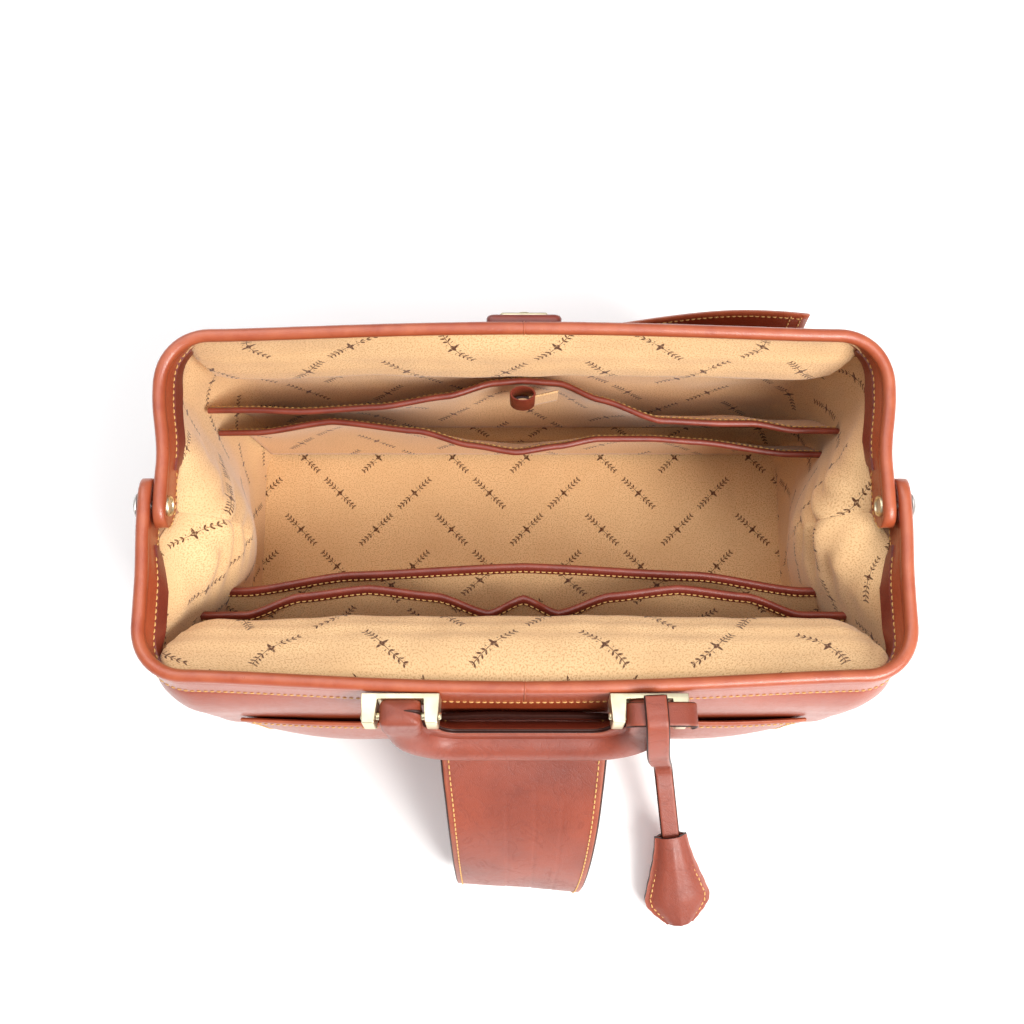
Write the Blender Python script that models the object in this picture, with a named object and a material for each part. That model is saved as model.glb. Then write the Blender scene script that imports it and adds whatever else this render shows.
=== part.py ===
"""Doctor bag: a soft leather body on a flat base, under a hinged two-part steel mouth frame.

Metres, +Z up. The origin is the centre of the base on the ground: +X runs along the mouth,
-Y is the handle side (the front) and +Y is the lock side (the back). The bag stands open.
"""

import math

import bmesh
import bpy
from mathutils import Vector

# ---------------------------------------------------------------- driving dimensions
GAP = 0.0004                 # clearance between pieces that touch
SEAM_GAP = 0.0012            # between a gusset and the front or back wall
WALL_CLEARANCE = 0.0014      # between the walls' top edges and the frame
LEATHER = 0.0022             # body leather
CLOTH = 0.0012               # lining
FOOT_HEIGHT = 0.004
BASE_LENGTH = 0.371
BASE_DEPTH = 0.191
BASE_CORNER = 0.028
BASE_LEATHER = 0.0026
BASE_BOARD = 0.0028

HINGE_Z = 0.185              # the axis that both frame halves fold about
FRAME_HALF_WIDTH = 0.2025    # middle of the front half's thickness
BACK_HALF_WIDTH = 0.1985     # and of the back half's, at its bar
BACK_ARM_HALF_WIDTH = 0.1941  # the back arms nest inside the front ones at the pivot
FRAME_CORNER = 0.028
STRIP_WIDTH = 0.024
COVER_HALF = 0.0027          # half of the covered frame's thickness
RIM_RADIUS = 0.0035
PIVOT_RISE = 0.011           # how far the arm ends rise past the closing edge, round the pivot
ARM_TAIL = 0.0118
FRONT = {"sign": -1, "tilt": 5, "flare": 6, "reach": 0.0908, "bow": 0.006, "half_width": FRAME_HALF_WIDTH}
BACK = {"sign": 1, "tilt": 13, "flare": 7, "reach": 0.0922, "bow": 0.004, "half_width": BACK_HALF_WIDTH}

FRONT_PROFILE = ((0.007, 0.0955), (0.045, 0.1045), (0.095, 0.1085), (0.14, 0.1068), (0.1688, 0.1022))
BACK_PROFILE = ((0.007, 0.0955), (0.045, 0.1035), (0.10, 0.1065), (0.15, 0.1065), (0.1798, 0.1048))
SIDE_PROFILE = ((0.007, 0.1855), (0.05, 0.1915), (0.10, 0.1975), (0.15, 0.2025), (0.18, 0.2050))
GUSSET_FOLD = 0.034          # how far the side walls fold in between the frame halves

BRACKET_X = 0.0632
BRACKET_WIDTH = 0.040
BRACKET_HEIGHT = 0.014
BRACKET_BASE = 0.003
BRACKET_RAISE = 0.0060       # how far the brackets sit above the middle of the bar's flat part
BRACKET_STAND = 0.0010       # and how far off it, to clear the rim bead
EAR_REACH = 0.015
EAR_THICKNESS = 0.0058
PIN_REACH = 0.0105
PIN_RADIUS = 0.0018

HANDLE_DROOP = 75.0          # degrees below the horizontal, lying on the strap
HANDLE_DROP = 0.043
HANDLE_BEND = 0.028
HANDLE_RADIUS = 0.0105
HANDLE_NECK = 0.009
HANDLE_BORE = 0.006
FLANGE_DEPTH = 0.0065
FLANGE_THICKNESS = 0.0034

STRAP_THICKNESS = 0.0034
STRAP_HINGE_GAP = 0.0024
THONG_WIDTH = 0.010
THONG_THICKNESS = 0.0022
BELL_LENGTH = 0.0590
BELL_WALL = 0.0018

# ---------------------------------------------------------------- finishes
FINISHES = {
    "leather": ((0.40, 0.085, 0.038), 0.42, 0.0),
    "dark_leather": ((0.19, 0.035, 0.020), 0.40, 0.0),
    "lining": ((0.62, 0.38, 0.20), 0.85, 0.0),
    "brass": ((0.66, 0.60, 0.40), 0.30, 1.0),
    "steel": ((0.55, 0.55, 0.56), 0.35, 1.0),
    "board": ((0.42, 0.33, 0.22), 0.90, 0.0),
    "rope": ((0.60, 0.52, 0.38), 0.90, 0.0),
}


def finish(name):
    """The material of that name, made once."""
    if name in bpy.data.materials:
        return bpy.data.materials[name]
    colour, roughness, metallic = FINISHES[name]
    material = bpy.data.materials.new(name)
    material.use_nodes = True
    shader = material.node_tree.nodes["Principled BSDF"]
    shader.inputs["Base Color"].default_value = (*colour, 1.0)
    shader.inputs["Roughness"].default_value = roughness
    shader.inputs["Metallic"].default_value = metallic
    return material


# ---------------------------------------------------------------- making and placing pieces
def joint_empty(name, place, parent=None):
    """An empty on a joint's axis, which its moving pieces hang from."""
    empty = bpy.data.objects.new(name, None)
    bpy.context.scene.collection.objects.link(empty)
    empty["place"] = tuple(place)
    empty.location = Vector(place)
    if parent:
        empty.parent = parent
        empty.location -= Vector(parent["place"])
    return empty


def piece(name, shape, material, joint=None, sharp=40):
    """Turns a bmesh in world coordinates into a named object on its joint."""
    bmesh.ops.recalc_face_normals(shape, faces=shape.faces)
    if joint:
        bmesh.ops.translate(shape, verts=shape.verts, vec=-Vector(joint["place"]))
    mesh = bpy.data.meshes.new(name)
    shape.to_mesh(mesh)
    shape.free()
    mesh.shade_smooth()
    mesh.set_sharp_from_angle(angle=math.radians(sharp))
    mesh.materials.append(finish(material))
    made = bpy.data.objects.new(name, mesh)
    bpy.context.scene.collection.objects.link(made)
    made.parent = joint
    return made


def bevel(made, width, segments=2):
    """Rounds the sharp edges of a piece."""
    modifier = made.modifiers.new("rounded", "BEVEL")
    modifier.width = width
    modifier.segments = segments
    modifier.limit_method = "ANGLE"
    modifier.angle_limit = math.radians(40)


def cut(made, cutter):
    """Takes the cutter out of a piece."""
    modifier = made.modifiers.new("hole", "BOOLEAN")
    modifier.object = cutter
    modifier.operation = "DIFFERENCE"


def loft(rings):
    """Skins a row of equal closed rings, and caps both ends."""
    shape = bmesh.new()
    rows = [[shape.verts.new(point) for point in ring] for ring in rings]
    count = len(rows[0])
    for near, far in zip(rows, rows[1:]):
        for i in range(count):
            j = (i + 1) % count
            shape.faces.new((near[i], near[j], far[j], far[i]))
    shape.faces.new(rows[0][::-1])
    shape.faces.new(rows[-1])
    return shape


def pipe(outer_rings, inner_rings):
    """A tube with a wall: an outer and an inner skin, joined by flat rims at both ends."""
    shape = bmesh.new()
    outer = [[shape.verts.new(point) for point in ring] for ring in outer_rings]
    inner = [[shape.verts.new(point) for point in ring] for ring in inner_rings]
    count = len(outer[0])
    for rows in (outer, inner):
        for near, far in zip(rows, rows[1:]):
            for i in range(count):
                j = (i + 1) % count
                shape.faces.new((near[i], near[j], far[j], far[i]))
    for end in (0, -1):
        for i in range(count):
            j = (i + 1) % count
            shape.faces.new((outer[end][i], outer[end][j], inner[end][j], inner[end][i]))
    return shape


def panel(surface, columns, rows, thickness):
    """A sheet with a thickness: surface(u, v) is its outer face, and the other lies behind it."""
    step = 1e-4
    front = []
    back = []
    for i in range(columns + 1):
        for j in range(rows + 1):
            u = i / columns
            v = j / rows
            u0 = max(u - step, 0.0)
            u1 = min(u + step, 1.0)
            v0 = max(v - step, 0.0)
            v1 = min(v + step, 1.0)
            along = Vector(surface(u1, v)) - Vector(surface(u0, v))
            up = Vector(surface(u, v1)) - Vector(surface(u, v0))
            normal = along.cross(up).normalized()
            point = Vector(surface(u, v))
            front.append(point)
            back.append(point - normal * thickness)
    shape = bmesh.new()
    outer = [shape.verts.new(point) for point in front]
    inner = [shape.verts.new(point) for point in back]
    wide = rows + 1

    def quad(side, i, j):
        return [side[i * wide + j], side[(i + 1) * wide + j],
                side[(i + 1) * wide + j + 1], side[i * wide + j + 1]]

    for i in range(columns):
        for j in range(rows):
            shape.faces.new(quad(outer, i, j))
            shape.faces.new(quad(inner, i, j)[::-1])
    edge = [i * wide for i in range(columns + 1)]
    edge += [columns * wide + j for j in range(1, rows + 1)]
    edge += [i * wide + rows for i in range(columns - 1, -1, -1)]
    edge += [j for j in range(rows - 1, 0, -1)]
    for a, b in zip(edge, edge[1:] + edge[:1]):
        shape.faces.new((outer[b], outer[a], inner[a], inner[b]))
    return shape


def turned(profile, centre, axis, segments=16):
    """A round piece: profile is (distance along the axis, radius), from end to end."""
    turn = Vector((0, 0, 1)).rotation_difference(Vector(axis)).to_matrix()
    rings = []
    for along, radius in profile:
        ring = []
        for k in range(segments):
            angle = 2 * math.pi * k / segments
            local = Vector((radius * math.cos(angle), radius * math.sin(angle), along))
            ring.append(Vector(centre) + turn @ local)
        rings.append(ring)
    return loft(rings)


def box(low, high):
    """An upright block between two corners."""
    shape = bmesh.new()
    bmesh.ops.create_cube(shape, size=1.0)
    middle = (Vector(low) + Vector(high)) / 2
    size = Vector(high) - Vector(low)
    bmesh.ops.scale(shape, verts=shape.verts, vec=size)
    bmesh.ops.translate(shape, verts=shape.verts, vec=middle)
    return shape


def slab(outline, low, high):
    """A flat outline in X and Y, given a thickness in Z."""
    return loft([[(x, y, z) for x, y in outline] for z in (low, high)])


def rounded_rectangle(half_x, half_y, radius, steps=5):
    """The outline of a rectangle with round corners."""
    points = []
    for corner, (sx, sy) in enumerate(((1, 1), (-1, 1), (-1, -1), (1, -1))):
        for k in range(steps + 1):
            angle = math.pi / 2 * (corner + k / steps)
            points.append((sx * (half_x - radius) + radius * math.cos(angle),
                           sy * (half_y - radius) + radius * math.sin(angle)))
    return points


# ---------------------------------------------------------------- smooth lines
def ease(value):
    """0 to 1 with soft ends."""
    value = min(max(value, 0.0), 1.0)
    return value * value * (3 - 2 * value)


def spline(points, t):
    """A smooth line through the points, for t from 0 to 1."""
    points = [Vector(point) for point in points]
    last = len(points) - 1
    place = min(max(t, 0.0), 1.0) * last
    k = min(int(place), last - 1)
    f = place - k
    a = points[k - 1] if k else points[0] * 2 - points[1]
    b = points[k]
    c = points[k + 1]
    d = points[k + 2] if k + 2 <= last else points[last] * 2 - points[last - 1]
    return 0.5 * (2 * b + (c - a) * f + (2 * a - 5 * b + 4 * c - d) * f * f
                  + (3 * b - 3 * c + d - a) * f * f * f)


def reading(profile, z):
    """The offset that a profile of (height, offset) stations has at a height."""
    if z <= profile[0][0]:
        return profile[0][1]
    for (z0, a), (z1, b) in zip(profile, profile[1:]):
        if z <= z1:
            return a + (b - a) * ease((z - z0) / (z1 - z0)) * 0.5 + (b - a) * (z - z0) / (z1 - z0) * 0.5
    return profile[-1][1]


# ---------------------------------------------------------------- the body's walls
def pivot_rise(reach):
    """How far an arm's closing edge rises round the pivot, at a distance from the hinge axis."""
    return PIVOT_RISE * (1 - ease((reach - 0.010) / 0.027))


def wall_top(y):
    """The height of the leather's top edge, just under the frame's lower edge."""
    half = FRONT if y < 0 else BACK
    profile = FRONT_PROFILE if y < 0 else BACK_PROFILE
    tilt = math.radians(half["tilt"])
    reach = (abs(y) - STRIP_WIDTH * math.sin(tilt)) / math.cos(tilt)
    height = pivot_rise(reach) - STRIP_WIDTH
    edge = HINGE_Z + max(reach, 0) * math.sin(tilt) + height * math.cos(tilt)
    return min(edge - WALL_CLEARANCE, profile[-1][0])


def face_point(half, u, z, inset):
    """A point on the front or back wall at height z: u runs from one side seam to the other."""
    profile = FRONT_PROFILE if half["sign"] < 0 else BACK_PROFILE
    wide = reading(SIDE_PROFILE, z) - inset
    deep = reading(profile, z) - inset
    radius = BASE_CORNER - inset
    quarter = math.pi / 2 * radius
    straight = 2 * (wide - radius)
    along = u * (straight + 2 * quarter)
    if along < quarter:
        angle = along / radius
        x = -(wide - radius) - radius * math.cos(angle)
        y = deep - radius + radius * math.sin(angle)
    elif along > quarter + straight:
        angle = (along - quarter - straight) / radius
        x = (wide - radius) + radius * math.sin(angle)
        y = deep - radius + radius * math.cos(angle)
    else:
        x = -(wide - radius) + along - quarter
        y = deep
    return (x, half["sign"] * y, z)


def seam_y(half, z):
    """Where the front or back wall meets the gusset."""
    profile = FRONT_PROFILE if half["sign"] < 0 else BACK_PROFILE
    return half["sign"] * (reading(profile, z) - BASE_CORNER)


def fold_in(y, z):
    """How far the gusset folds in at a place: deepest under the pivots, nothing at the base."""
    across = math.cos(min(abs(y) / 0.075, 1.0) * math.pi / 2) ** 1.4
    return GUSSET_FOLD * across * ease((z - 0.02) / 0.11)


def face_panel(half, low, inset, thickness, columns, rows, stop=0.0):
    """The front or back wall, from height low up to the frame."""
    def surface(u, v):
        side_y = seam_y(half, 0.16)
        rough = face_point(half, u, 0.16, inset)
        share = ease((abs(rough[1]) - abs(side_y)) / BASE_CORNER)
        top = wall_top(side_y) * (1 - share) + wall_top(half["sign"] * 0.1) * share - stop
        return face_point(half, u, low + (top - low) * v, inset)
    turn = surface if half["sign"] < 0 else (lambda u, v: surface(1 - u, v))
    return panel(turn, columns, rows, thickness)


def gusset_panel(side, low, inset, thickness, columns, rows, stop=0.0):
    """A side wall between the two seams, with its inward fold."""
    def surface(u, v):
        front = seam_y(FRONT, 0.16) + SEAM_GAP
        back = seam_y(BACK, 0.16) - SEAM_GAP
        y = front + (back - front) * u
        z = low + (wall_top(y) - stop - low) * v
        front = seam_y(FRONT, z) + SEAM_GAP
        back = seam_y(BACK, z) - SEAM_GAP
        y = front + (back - front) * u
        x = reading(SIDE_PROFILE, z) - inset - fold_in(y, z)
        return (side * x, y, z)
    turn = surface if side > 0 else (lambda u, v: surface(1 - u, v))
    return panel(turn, columns, rows, thickness)


def make_base():
    """Five studs, the leather bottom, its stiffening board and the floor lining."""
    half_x = BASE_LENGTH / 2
    half_y = BASE_DEPTH / 2
    places = {"foot_front_left": (-0.140, -0.062), "foot_front_right": (0.140, -0.062),
              "foot_back_left": (-0.140, 0.062), "foot_back_right": (0.140, 0.062),
              "foot_centre": (0.0, 0.0)}
    dome = ((0.0, 0.0052), (0.0010, 0.0068), (0.0026, 0.0078), (FOOT_HEIGHT, 0.0080))
    for name, (x, y) in places.items():
        piece(name, turned(dome, (x, y, 0), (0, 0, 1), 20), "brass")
    low = FOOT_HEIGHT + GAP
    layers = (("base_leather", BASE_LEATHER, 0.0, "leather"), ("base_board", BASE_BOARD, 0.006, "board"),
              ("floor_lining", CLOTH, 0.0062, "lining"))
    for name, thickness, inset, material in layers:
        outline = rounded_rectangle(half_x - inset, half_y - inset, BASE_CORNER - inset)
        piece(name, slab(outline, low, low + thickness), material)
        low += thickness + GAP


def make_walls():
    """The leather walls and, 1 mm inside them, the lining."""
    low = FOOT_HEIGHT + BASE_LEATHER + 2 * GAP
    lining_low = low + BASE_BOARD + CLOTH + 3 * GAP
    lining_inset = LEATHER + 0.0016
    for name, half in (("front", FRONT), ("back", BACK)):
        piece(name + "_panel", face_panel(half, low, 0.0, LEATHER, 24, 7), "leather", sharp=60)
        lining = face_panel(half, lining_low, lining_inset, CLOTH, 24, 7, stop=0.002)
        piece(name + "_lining", lining, "lining", sharp=60)
    for name, side in (("left", -1), ("right", 1)):
        piece(name + "_gusset", gusset_panel(side, low, 0.0, LEATHER, 10, 8), "leather", sharp=60)
        lining = gusset_panel(side, lining_low, lining_inset, CLOTH, 10, 8, stop=0.002)
        piece(name + "_lining", lining, "lining", sharp=60)


# ---------------------------------------------------------------- pockets
def make_front_pocket():
    """The outer pocket sewn on the front: its mouth stands a little open."""
    def surface(u, v):
        z = 0.012 + (0.118 - 0.012) * v
        low_corner = 1 - math.sqrt(max(1 - (1 - min(v / 0.35, 1.0)) ** 2, 0.0))
        x = (u * 2 - 1) * (0.146 + 0.014 * v - 0.030 * low_corner)
        wall = reading(FRONT_PROFILE, z)
        edge = 1 - abs(u * 2 - 1) ** 6
        stand = 0.0034 + edge * (0.0062 + 0.0022 * math.sin(math.pi * v))
        return (x, -(wall + stand), z)
    piece("front_pocket", panel(surface, 18, 5, LEATHER), "leather", sharp=60)


def make_back_pocket():
    """The slip pocket on the back, whose right-hand end stands away from the wall."""
    def surface(u, v):
        z = 0.012 + (0.152 - 0.012) * v
        x = (1 - u * 2) * 0.171
        wall = reading(BACK_PROFILE, z)
        edge = 1 - abs(u * 2 - 1) ** 8
        lift = 0.012 * ease((x + 0.02) / 0.16) * ease((v - 0.45) / 0.55)
        return (x, wall + 0.0032 + 0.003 * edge + lift, z)
    piece("back_pocket", panel(surface, 18, 6, LEATHER), "leather", sharp=60)


def inner_pocket(name, wall_side, foot, mouth, half_width, dip):
    """A lining pocket that leans into the bag, and the leather binding along its mouth.

    foot and mouth are (Y, Z) of its lower and upper edge, and dip(s) lowers and moves the
    mouth along its length, for s from -1 to 1.
    """
    def edge(s):
        move, drop = dip(s)
        return Vector((s * half_width, mouth[0] + move, mouth[1] - drop))

    def surface(u, v):
        s = u * 2 - 1
        top = edge(s)
        bottom = Vector((s * half_width, foot[0], foot[1]))
        sag = 0.006 * math.sin(math.pi * v) * wall_side
        point = bottom.lerp(top, v)
        return (point.x, point.y + sag, point.z)
    turn = surface if wall_side < 0 else (lambda u, v: surface(1 - u, v))
    piece(name, panel(turn, 20, 3, CLOTH), "lining", sharp=60)
    rings = []
    steps = 24
    for k in range(steps + 1):
        centre = edge(2 * k / steps - 1)
        lean = (Vector((0, mouth[0] - foot[0], mouth[1] - foot[1]))).normalized()
        flat = Vector((1, 0, 0)).cross(lean)
        centre = centre + lean * (0.0024 + GAP)
        rings.append([centre + flat * 0.0022 * math.cos(a) + lean * 0.0024 * math.sin(a)
                      for a in (2 * math.pi * i / 8 for i in range(8))])
    piece(name + "_binding", loft(rings), "dark_leather", sharp=60)


NEAR_LARGE_MOUTH = ((-0.165, -0.0345), (-0.1043, -0.0255), (0.0, -0.0206), (0.1043, -0.0255), (0.165, -0.0345))
NEAR_SMALL_MOUTH = ((-0.160, -0.0515), (-0.130, -0.0410), (-0.090, -0.0364), (-0.050, -0.0410),
                    (-0.020, -0.0512), (0.0, -0.0424), (0.020, -0.0512), (0.050, -0.0410),
                    (0.090, -0.0364), (0.130, -0.0410), (0.160, -0.0515))
FAR_LARGE_MOUTH = ((-0.165, 0.0690), (-0.120, 0.0756), (-0.065, 0.0690), (-0.033, 0.0600), (-0.004, 0.0553),
                   (0.022, 0.0592), (0.047, 0.0640), (0.080, 0.0642), (0.110, 0.0622), (0.165, 0.0550))
FAR_SMALL_MOUTH = ((-0.165, 0.0770), (-0.135, 0.0755), (-0.088, 0.0780), (-0.046, 0.0848), (-0.018, 0.0930),
                   (0.0, 0.0945), (0.022, 0.0930), (0.047, 0.0825), (0.083, 0.0695), (0.120, 0.0680),
                   (0.140, 0.0682), (0.165, 0.0640))


def make_inner_pockets():
    """Large and small slip pockets on both long sides, and a pen loop."""
    def sag(stations, half_width, middle):
        return lambda s: (reading(stations, s * half_width) - middle, 0.004 * s * s)

    inner_pocket("near_large_pocket", -1, (-0.080, 0.016), (-0.030, 0.112), 0.165,
                 sag(NEAR_LARGE_MOUTH, 0.165, -0.030))
    inner_pocket("near_small_pockets", -1, (-0.086, 0.040), (-0.048, 0.128), 0.160,
                 sag(NEAR_SMALL_MOUTH, 0.160, -0.048))
    inner_pocket("far_large_pocket", 1, (0.082, 0.016), (0.066, 0.105), 0.165,
                 sag(FAR_LARGE_MOUTH, 0.165, 0.066))
    inner_pocket("far_small_pockets", 1, (0.094, 0.040), (0.090, 0.125), 0.165,
                 sag(FAR_SMALL_MOUTH, 0.165, 0.090))

    rings = []
    for z in (0.118, 0.130):
        outline = rounded_rectangle(0.008, 0.005, 0.003, 3)
        inner = rounded_rectangle(0.0066, 0.0036, 0.0024, 3)
        rings.append(([(x, 0.0846 + y, z) for x, y in outline], [(x, 0.0846 + y, z) for x, y in inner]))
    piece("pen_loop", pipe([ring[0] for ring in rings], [ring[1] for ring in rings]), "leather")


# ---------------------------------------------------------------- the mouth frame
def frame_world(half, x, reach, height):
    """A point of a frame half: reach is its distance from the hinge axis, in the half's own plane."""
    tilt = math.radians(half["tilt"])
    out = reach * math.cos(tilt) - height * math.sin(tilt)
    up = reach * math.sin(tilt) + height * math.cos(tilt)
    return Vector((x, half["sign"] * out, HINGE_Z + up))


def frame_line(half, start=-ARM_TAIL, side=None):
    """The line of a frame half, in its own plane: (x, reach) from one arm end round to the other."""
    reach = half["reach"]
    bar = half["half_width"] - FRAME_CORNER

    def arm_x(distance):
        if half["sign"] < 0:
            return FRAME_HALF_WIDTH
        widen = ease((distance - 0.022) / 0.036)
        return BACK_ARM_HALF_WIDTH + (BACK_HALF_WIDTH - BACK_ARM_HALF_WIDTH) * widen

    arm = [start + step for step in (0.0, 0.0016, 0.0050)] if start < 0 else [start]
    straight = reach - FRAME_CORNER
    arm += [straight * k / 9 for k in range(10) if straight * k / 9 > start]
    left = [(-arm_x(d), d) for d in arm]
    for k in range(1, 7):
        angle = math.pi / 2 * k / 6
        left.append((-bar - FRAME_CORNER * math.cos(angle),
                     reach - FRAME_CORNER + FRAME_CORNER * math.sin(angle)))
    for k in range(1, 6):
        x = -bar * (1 - k / 5)
        left.append((x, reach + half["bow"] * (1 - (x / bar) ** 2)))
    return left + [(-x, d) for x, d in left[-2::-1]]


def frame_frames(half, line):
    """For each point of the line: its place, outward direction, rise, flare and end rounding."""
    found = []
    for k, (x, d) in enumerate(line):
        before = Vector(line[max(k - 1, 0)])
        after = Vector(line[min(k + 1, len(line) - 1)])
        tangent = (after - before).normalized()
        outward = (-tangent.y, tangent.x)
        rise = pivot_rise(d)
        flare = half["flare"] * ease((d - 0.025) / (half["reach"] - 0.025))
        rounding = 1.0
        if d < 0:
            rounding = math.sqrt(max(1 - (d / (ARM_TAIL + 0.0002)) ** 2, 0.03))
        found.append((x, d, outward, rise, math.radians(flare), rounding))
    return found


def frame_sweep(half, frames, profile):
    """Sweeps a profile of (outward, height below the rim) along a frame half."""
    middle = -STRIP_WIDTH / 2
    rings = []
    for x, d, outward, rise, flare, rounding in frames:
        ring = []
        for n, h in profile:
            h = middle + (h - middle) * rounding
            out = n * math.cos(flare) - h * math.sin(flare)
            up = h * math.cos(flare) + n * math.sin(flare)
            ring.append(frame_world(half, x + outward[0] * out, d + outward[1] * out, rise + up))
        rings.append(ring)
    return loft(rings)


def cover_profile():
    """The leather folded over the steel: a hairpin with a round rim, open at the bottom."""
    leg = 0.0012
    inner = COVER_HALF - leg
    outer = [(COVER_HALF, -STRIP_WIDTH), (COVER_HALF, -2 * RIM_RADIUS + 0.0006)]
    for k in range(7):
        angle = math.radians(-20 + 220 * k / 6)
        outer.append((RIM_RADIUS * math.cos(angle), -RIM_RADIUS + RIM_RADIUS * math.sin(angle)))
    outer += [(-COVER_HALF, -2 * RIM_RADIUS + 0.0006), (-COVER_HALF, -STRIP_WIDTH)]
    return outer + [(-inner, -STRIP_WIDTH), (-inner, -0.0040), (inner, -0.0040), (inner, -STRIP_WIDTH)]


def strip_profile():
    """The spring steel inside the cover."""
    half = 0.0006
    return [(half, -0.0220), (half, -0.0050), (-half, -0.0050), (-half, -0.0220)]


def facing(half, side):
    """The leather facing on an arm's inner face, pointed at the pivot end."""
    near = -COVER_HALF - 2 * GAP
    profile = [(near, -0.0225), (near, -0.0080), (near - 0.0011, -0.0080), (near - 0.0011, -0.0225)]
    start = 0.016
    stop = half["reach"] - FRAME_CORNER - 0.002
    line = [point for point in frame_line(half, start) if point[0] * side > 0]
    line = [point for point in line if point[1] <= stop]
    frames = frame_frames(half, line)
    first = 0 if side < 0 else len(frames) - 1
    shaped = []
    for k, (x, d, _, rise, flare, _) in enumerate(frames):
        shaped.append((x, d, (side, 0.0), rise, flare, 0.35 if k == first else 1.0))
    return frame_sweep(half, shaped, profile)


def make_frame_half(name, half, joint, holes):
    """Steel strip, leather cover and arm facings of one half."""
    frames = frame_frames(half, frame_line(half))
    strip = piece(name + "_frame_strip", frame_sweep(half, frames, strip_profile()), "steel", joint)
    cover = piece(name + "_frame_cover", frame_sweep(half, frames, cover_profile()), "leather", joint)
    for hole in holes:
        cut(strip, hole)
        cut(cover, hole)
    for side_name, side in (("left", -1), ("right", 1)):
        piece(f"{name}_facing_{side_name}", facing(half, side), "dark_leather", joint)


def bar_frame(half, x):
    """Place and directions on the outer face of a bar, half way down its flat part."""
    bar = half["half_width"] - FRAME_CORNER
    reach = half["reach"] + half["bow"] * (1 - (x / bar) ** 2)
    lean = math.radians(half["flare"])
    down = Vector((0, math.sin(lean), -math.cos(lean)))
    out = Vector((0, math.cos(lean), math.sin(lean)))
    local = Vector((0, reach, 0)) + down * (STRIP_WIDTH / 2 + 0.0025) + out * COVER_HALF

    def world(direction):
        return frame_world(half, 0, direction.y, direction.z) - Vector((0, 0, HINGE_Z))
    return frame_world(half, x, local.y, local.z), world(out), world(down)


def make_pivots():
    """On each side a rivet through both arms, with a washer on the inside."""
    inner = BACK_ARM_HALF_WIDTH - RIM_RADIUS - GAP
    outer = FRAME_HALF_WIDTH + RIM_RADIUS + GAP
    for name, side in (("left", -1), ("right", 1)):
        centre = (0, 0, HINGE_Z)
        washer = [(inner - 0.0012, 0.0031), (inner - 0.0012, 0.0068), (inner, 0.0068), (inner, 0.0031)]
        rings = [[(side * x, radius * math.cos(a), HINGE_Z + radius * math.sin(a))
                  for x, radius in washer] for a in (2 * math.pi * k / 16 for k in range(16))]
        shape = bmesh.new()
        rows = [[shape.verts.new(point) for point in ring] for ring in rings]
        for near, far in zip(rows, rows[1:] + rows[:1]):
            for i in range(4):
                j = (i + 1) % 4
                shape.faces.new((near[i], near[j], far[j], far[i]))
        piece("pivot_washer_" + name, shape, "brass")
        head = inner - 0.0012 - GAP
        rivet = [(side * (head - 0.0018), 0.0030), (side * (head - 0.0008), 0.0046), (side * head, 0.0048),
                 (side * (head + 0.0001), 0.0024), (side * (outer - 0.0001), 0.0024),
                 (side * outer, 0.0072), (side * (outer + 0.0014), 0.0066), (side * (outer + 0.0024), 0.0040)]
        piece("pivot_rivet_" + name, turned(rivet, centre, (1, 0, 0)), "steel")


def hole_cutters():
    """Guides for the pivot holes in the arms."""
    made = []
    for name, side in (("left", -1), ("right", 1)):
        middle = side * (FRAME_HALF_WIDTH + BACK_ARM_HALF_WIDTH) / 2
        rod = turned([(middle - 0.02, 0.0028), (middle + 0.02, 0.0028)], (0, 0, HINGE_Z), (1, 0, 0))
        cutter = piece("pivot_hole_" + name, rod, "steel")
        cutter.hide_render = True
        cutter.display_type = "WIRE"
        made.append(cutter)
    return made


# ---------------------------------------------------------------- handle and its brackets
def bracket_face():
    """The brackets' seat on the front bar, and the directions out from it and down it."""
    face, out, down = bar_frame(FRONT, BRACKET_X)
    return face + out * BRACKET_STAND - down * BRACKET_RAISE, out, down


def pin_place():
    """The handle's pin axis, in front of the front bar."""
    face, out, _ = bracket_face()
    return face + out * PIN_REACH


def make_brackets(joint):
    """Two cast brackets on the front bar, each a channel with a pin across it."""
    half = BRACKET_WIDTH / 2
    ear = EAR_THICKNESS
    outline = [(-half, 0.0), (half, 0.0), (half - 0.0012, EAR_REACH - 0.0015), (half - 0.0022, EAR_REACH),
               (half - ear, EAR_REACH), (half - ear - 0.0010, EAR_REACH - 0.0015),
               (half - ear - 0.0014, BRACKET_BASE)]
    outline += [(-x, n) for x, n in outline[:1:-1]]
    for name, side in (("left", -1), ("right", 1)):
        face, out, down = bracket_face()
        face = Vector((side * BRACKET_X, face.y, face.z)) + out * GAP
        rings = [[face + Vector((x, 0, 0)) + out * n + down * h for x, n in outline]
                 for h in (-BRACKET_HEIGHT / 2, BRACKET_HEIGHT / 2)]
        bracket = piece("handle_bracket_" + name, loft(rings), "brass", joint, sharp=30)
        bevel(bracket, 0.0006, 1)
        centre = Vector((side * BRACKET_X, 0, 0)) + Vector((0, *pin_place().yz))
        rod = turned([(-half - 0.004, PIN_RADIUS + 0.0003), (half + 0.004, PIN_RADIUS + 0.0003)],
                     centre, (1, 0, 0), 12)
        cutter = piece("pin_hole_" + name, rod, "steel")
        cutter.hide_render = True
        cutter.display_type = "WIRE"
        cut(bracket, cutter)
        left = half + 0.0003
        right = left + (THONG_THICKNESS + 0.0006 if side > 0 else 0)
        pin = [(-left - 0.0010, 0.0022), (-left, 0.0028), (-left + 0.0001, PIN_RADIUS),
               (right - 0.0001, PIN_RADIUS), (right, 0.0028), (right + 0.0010, 0.0022)]
        piece("bracket_pin_" + name, turned(pin, centre, (1, 0, 0), 12), "brass", joint)


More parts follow.
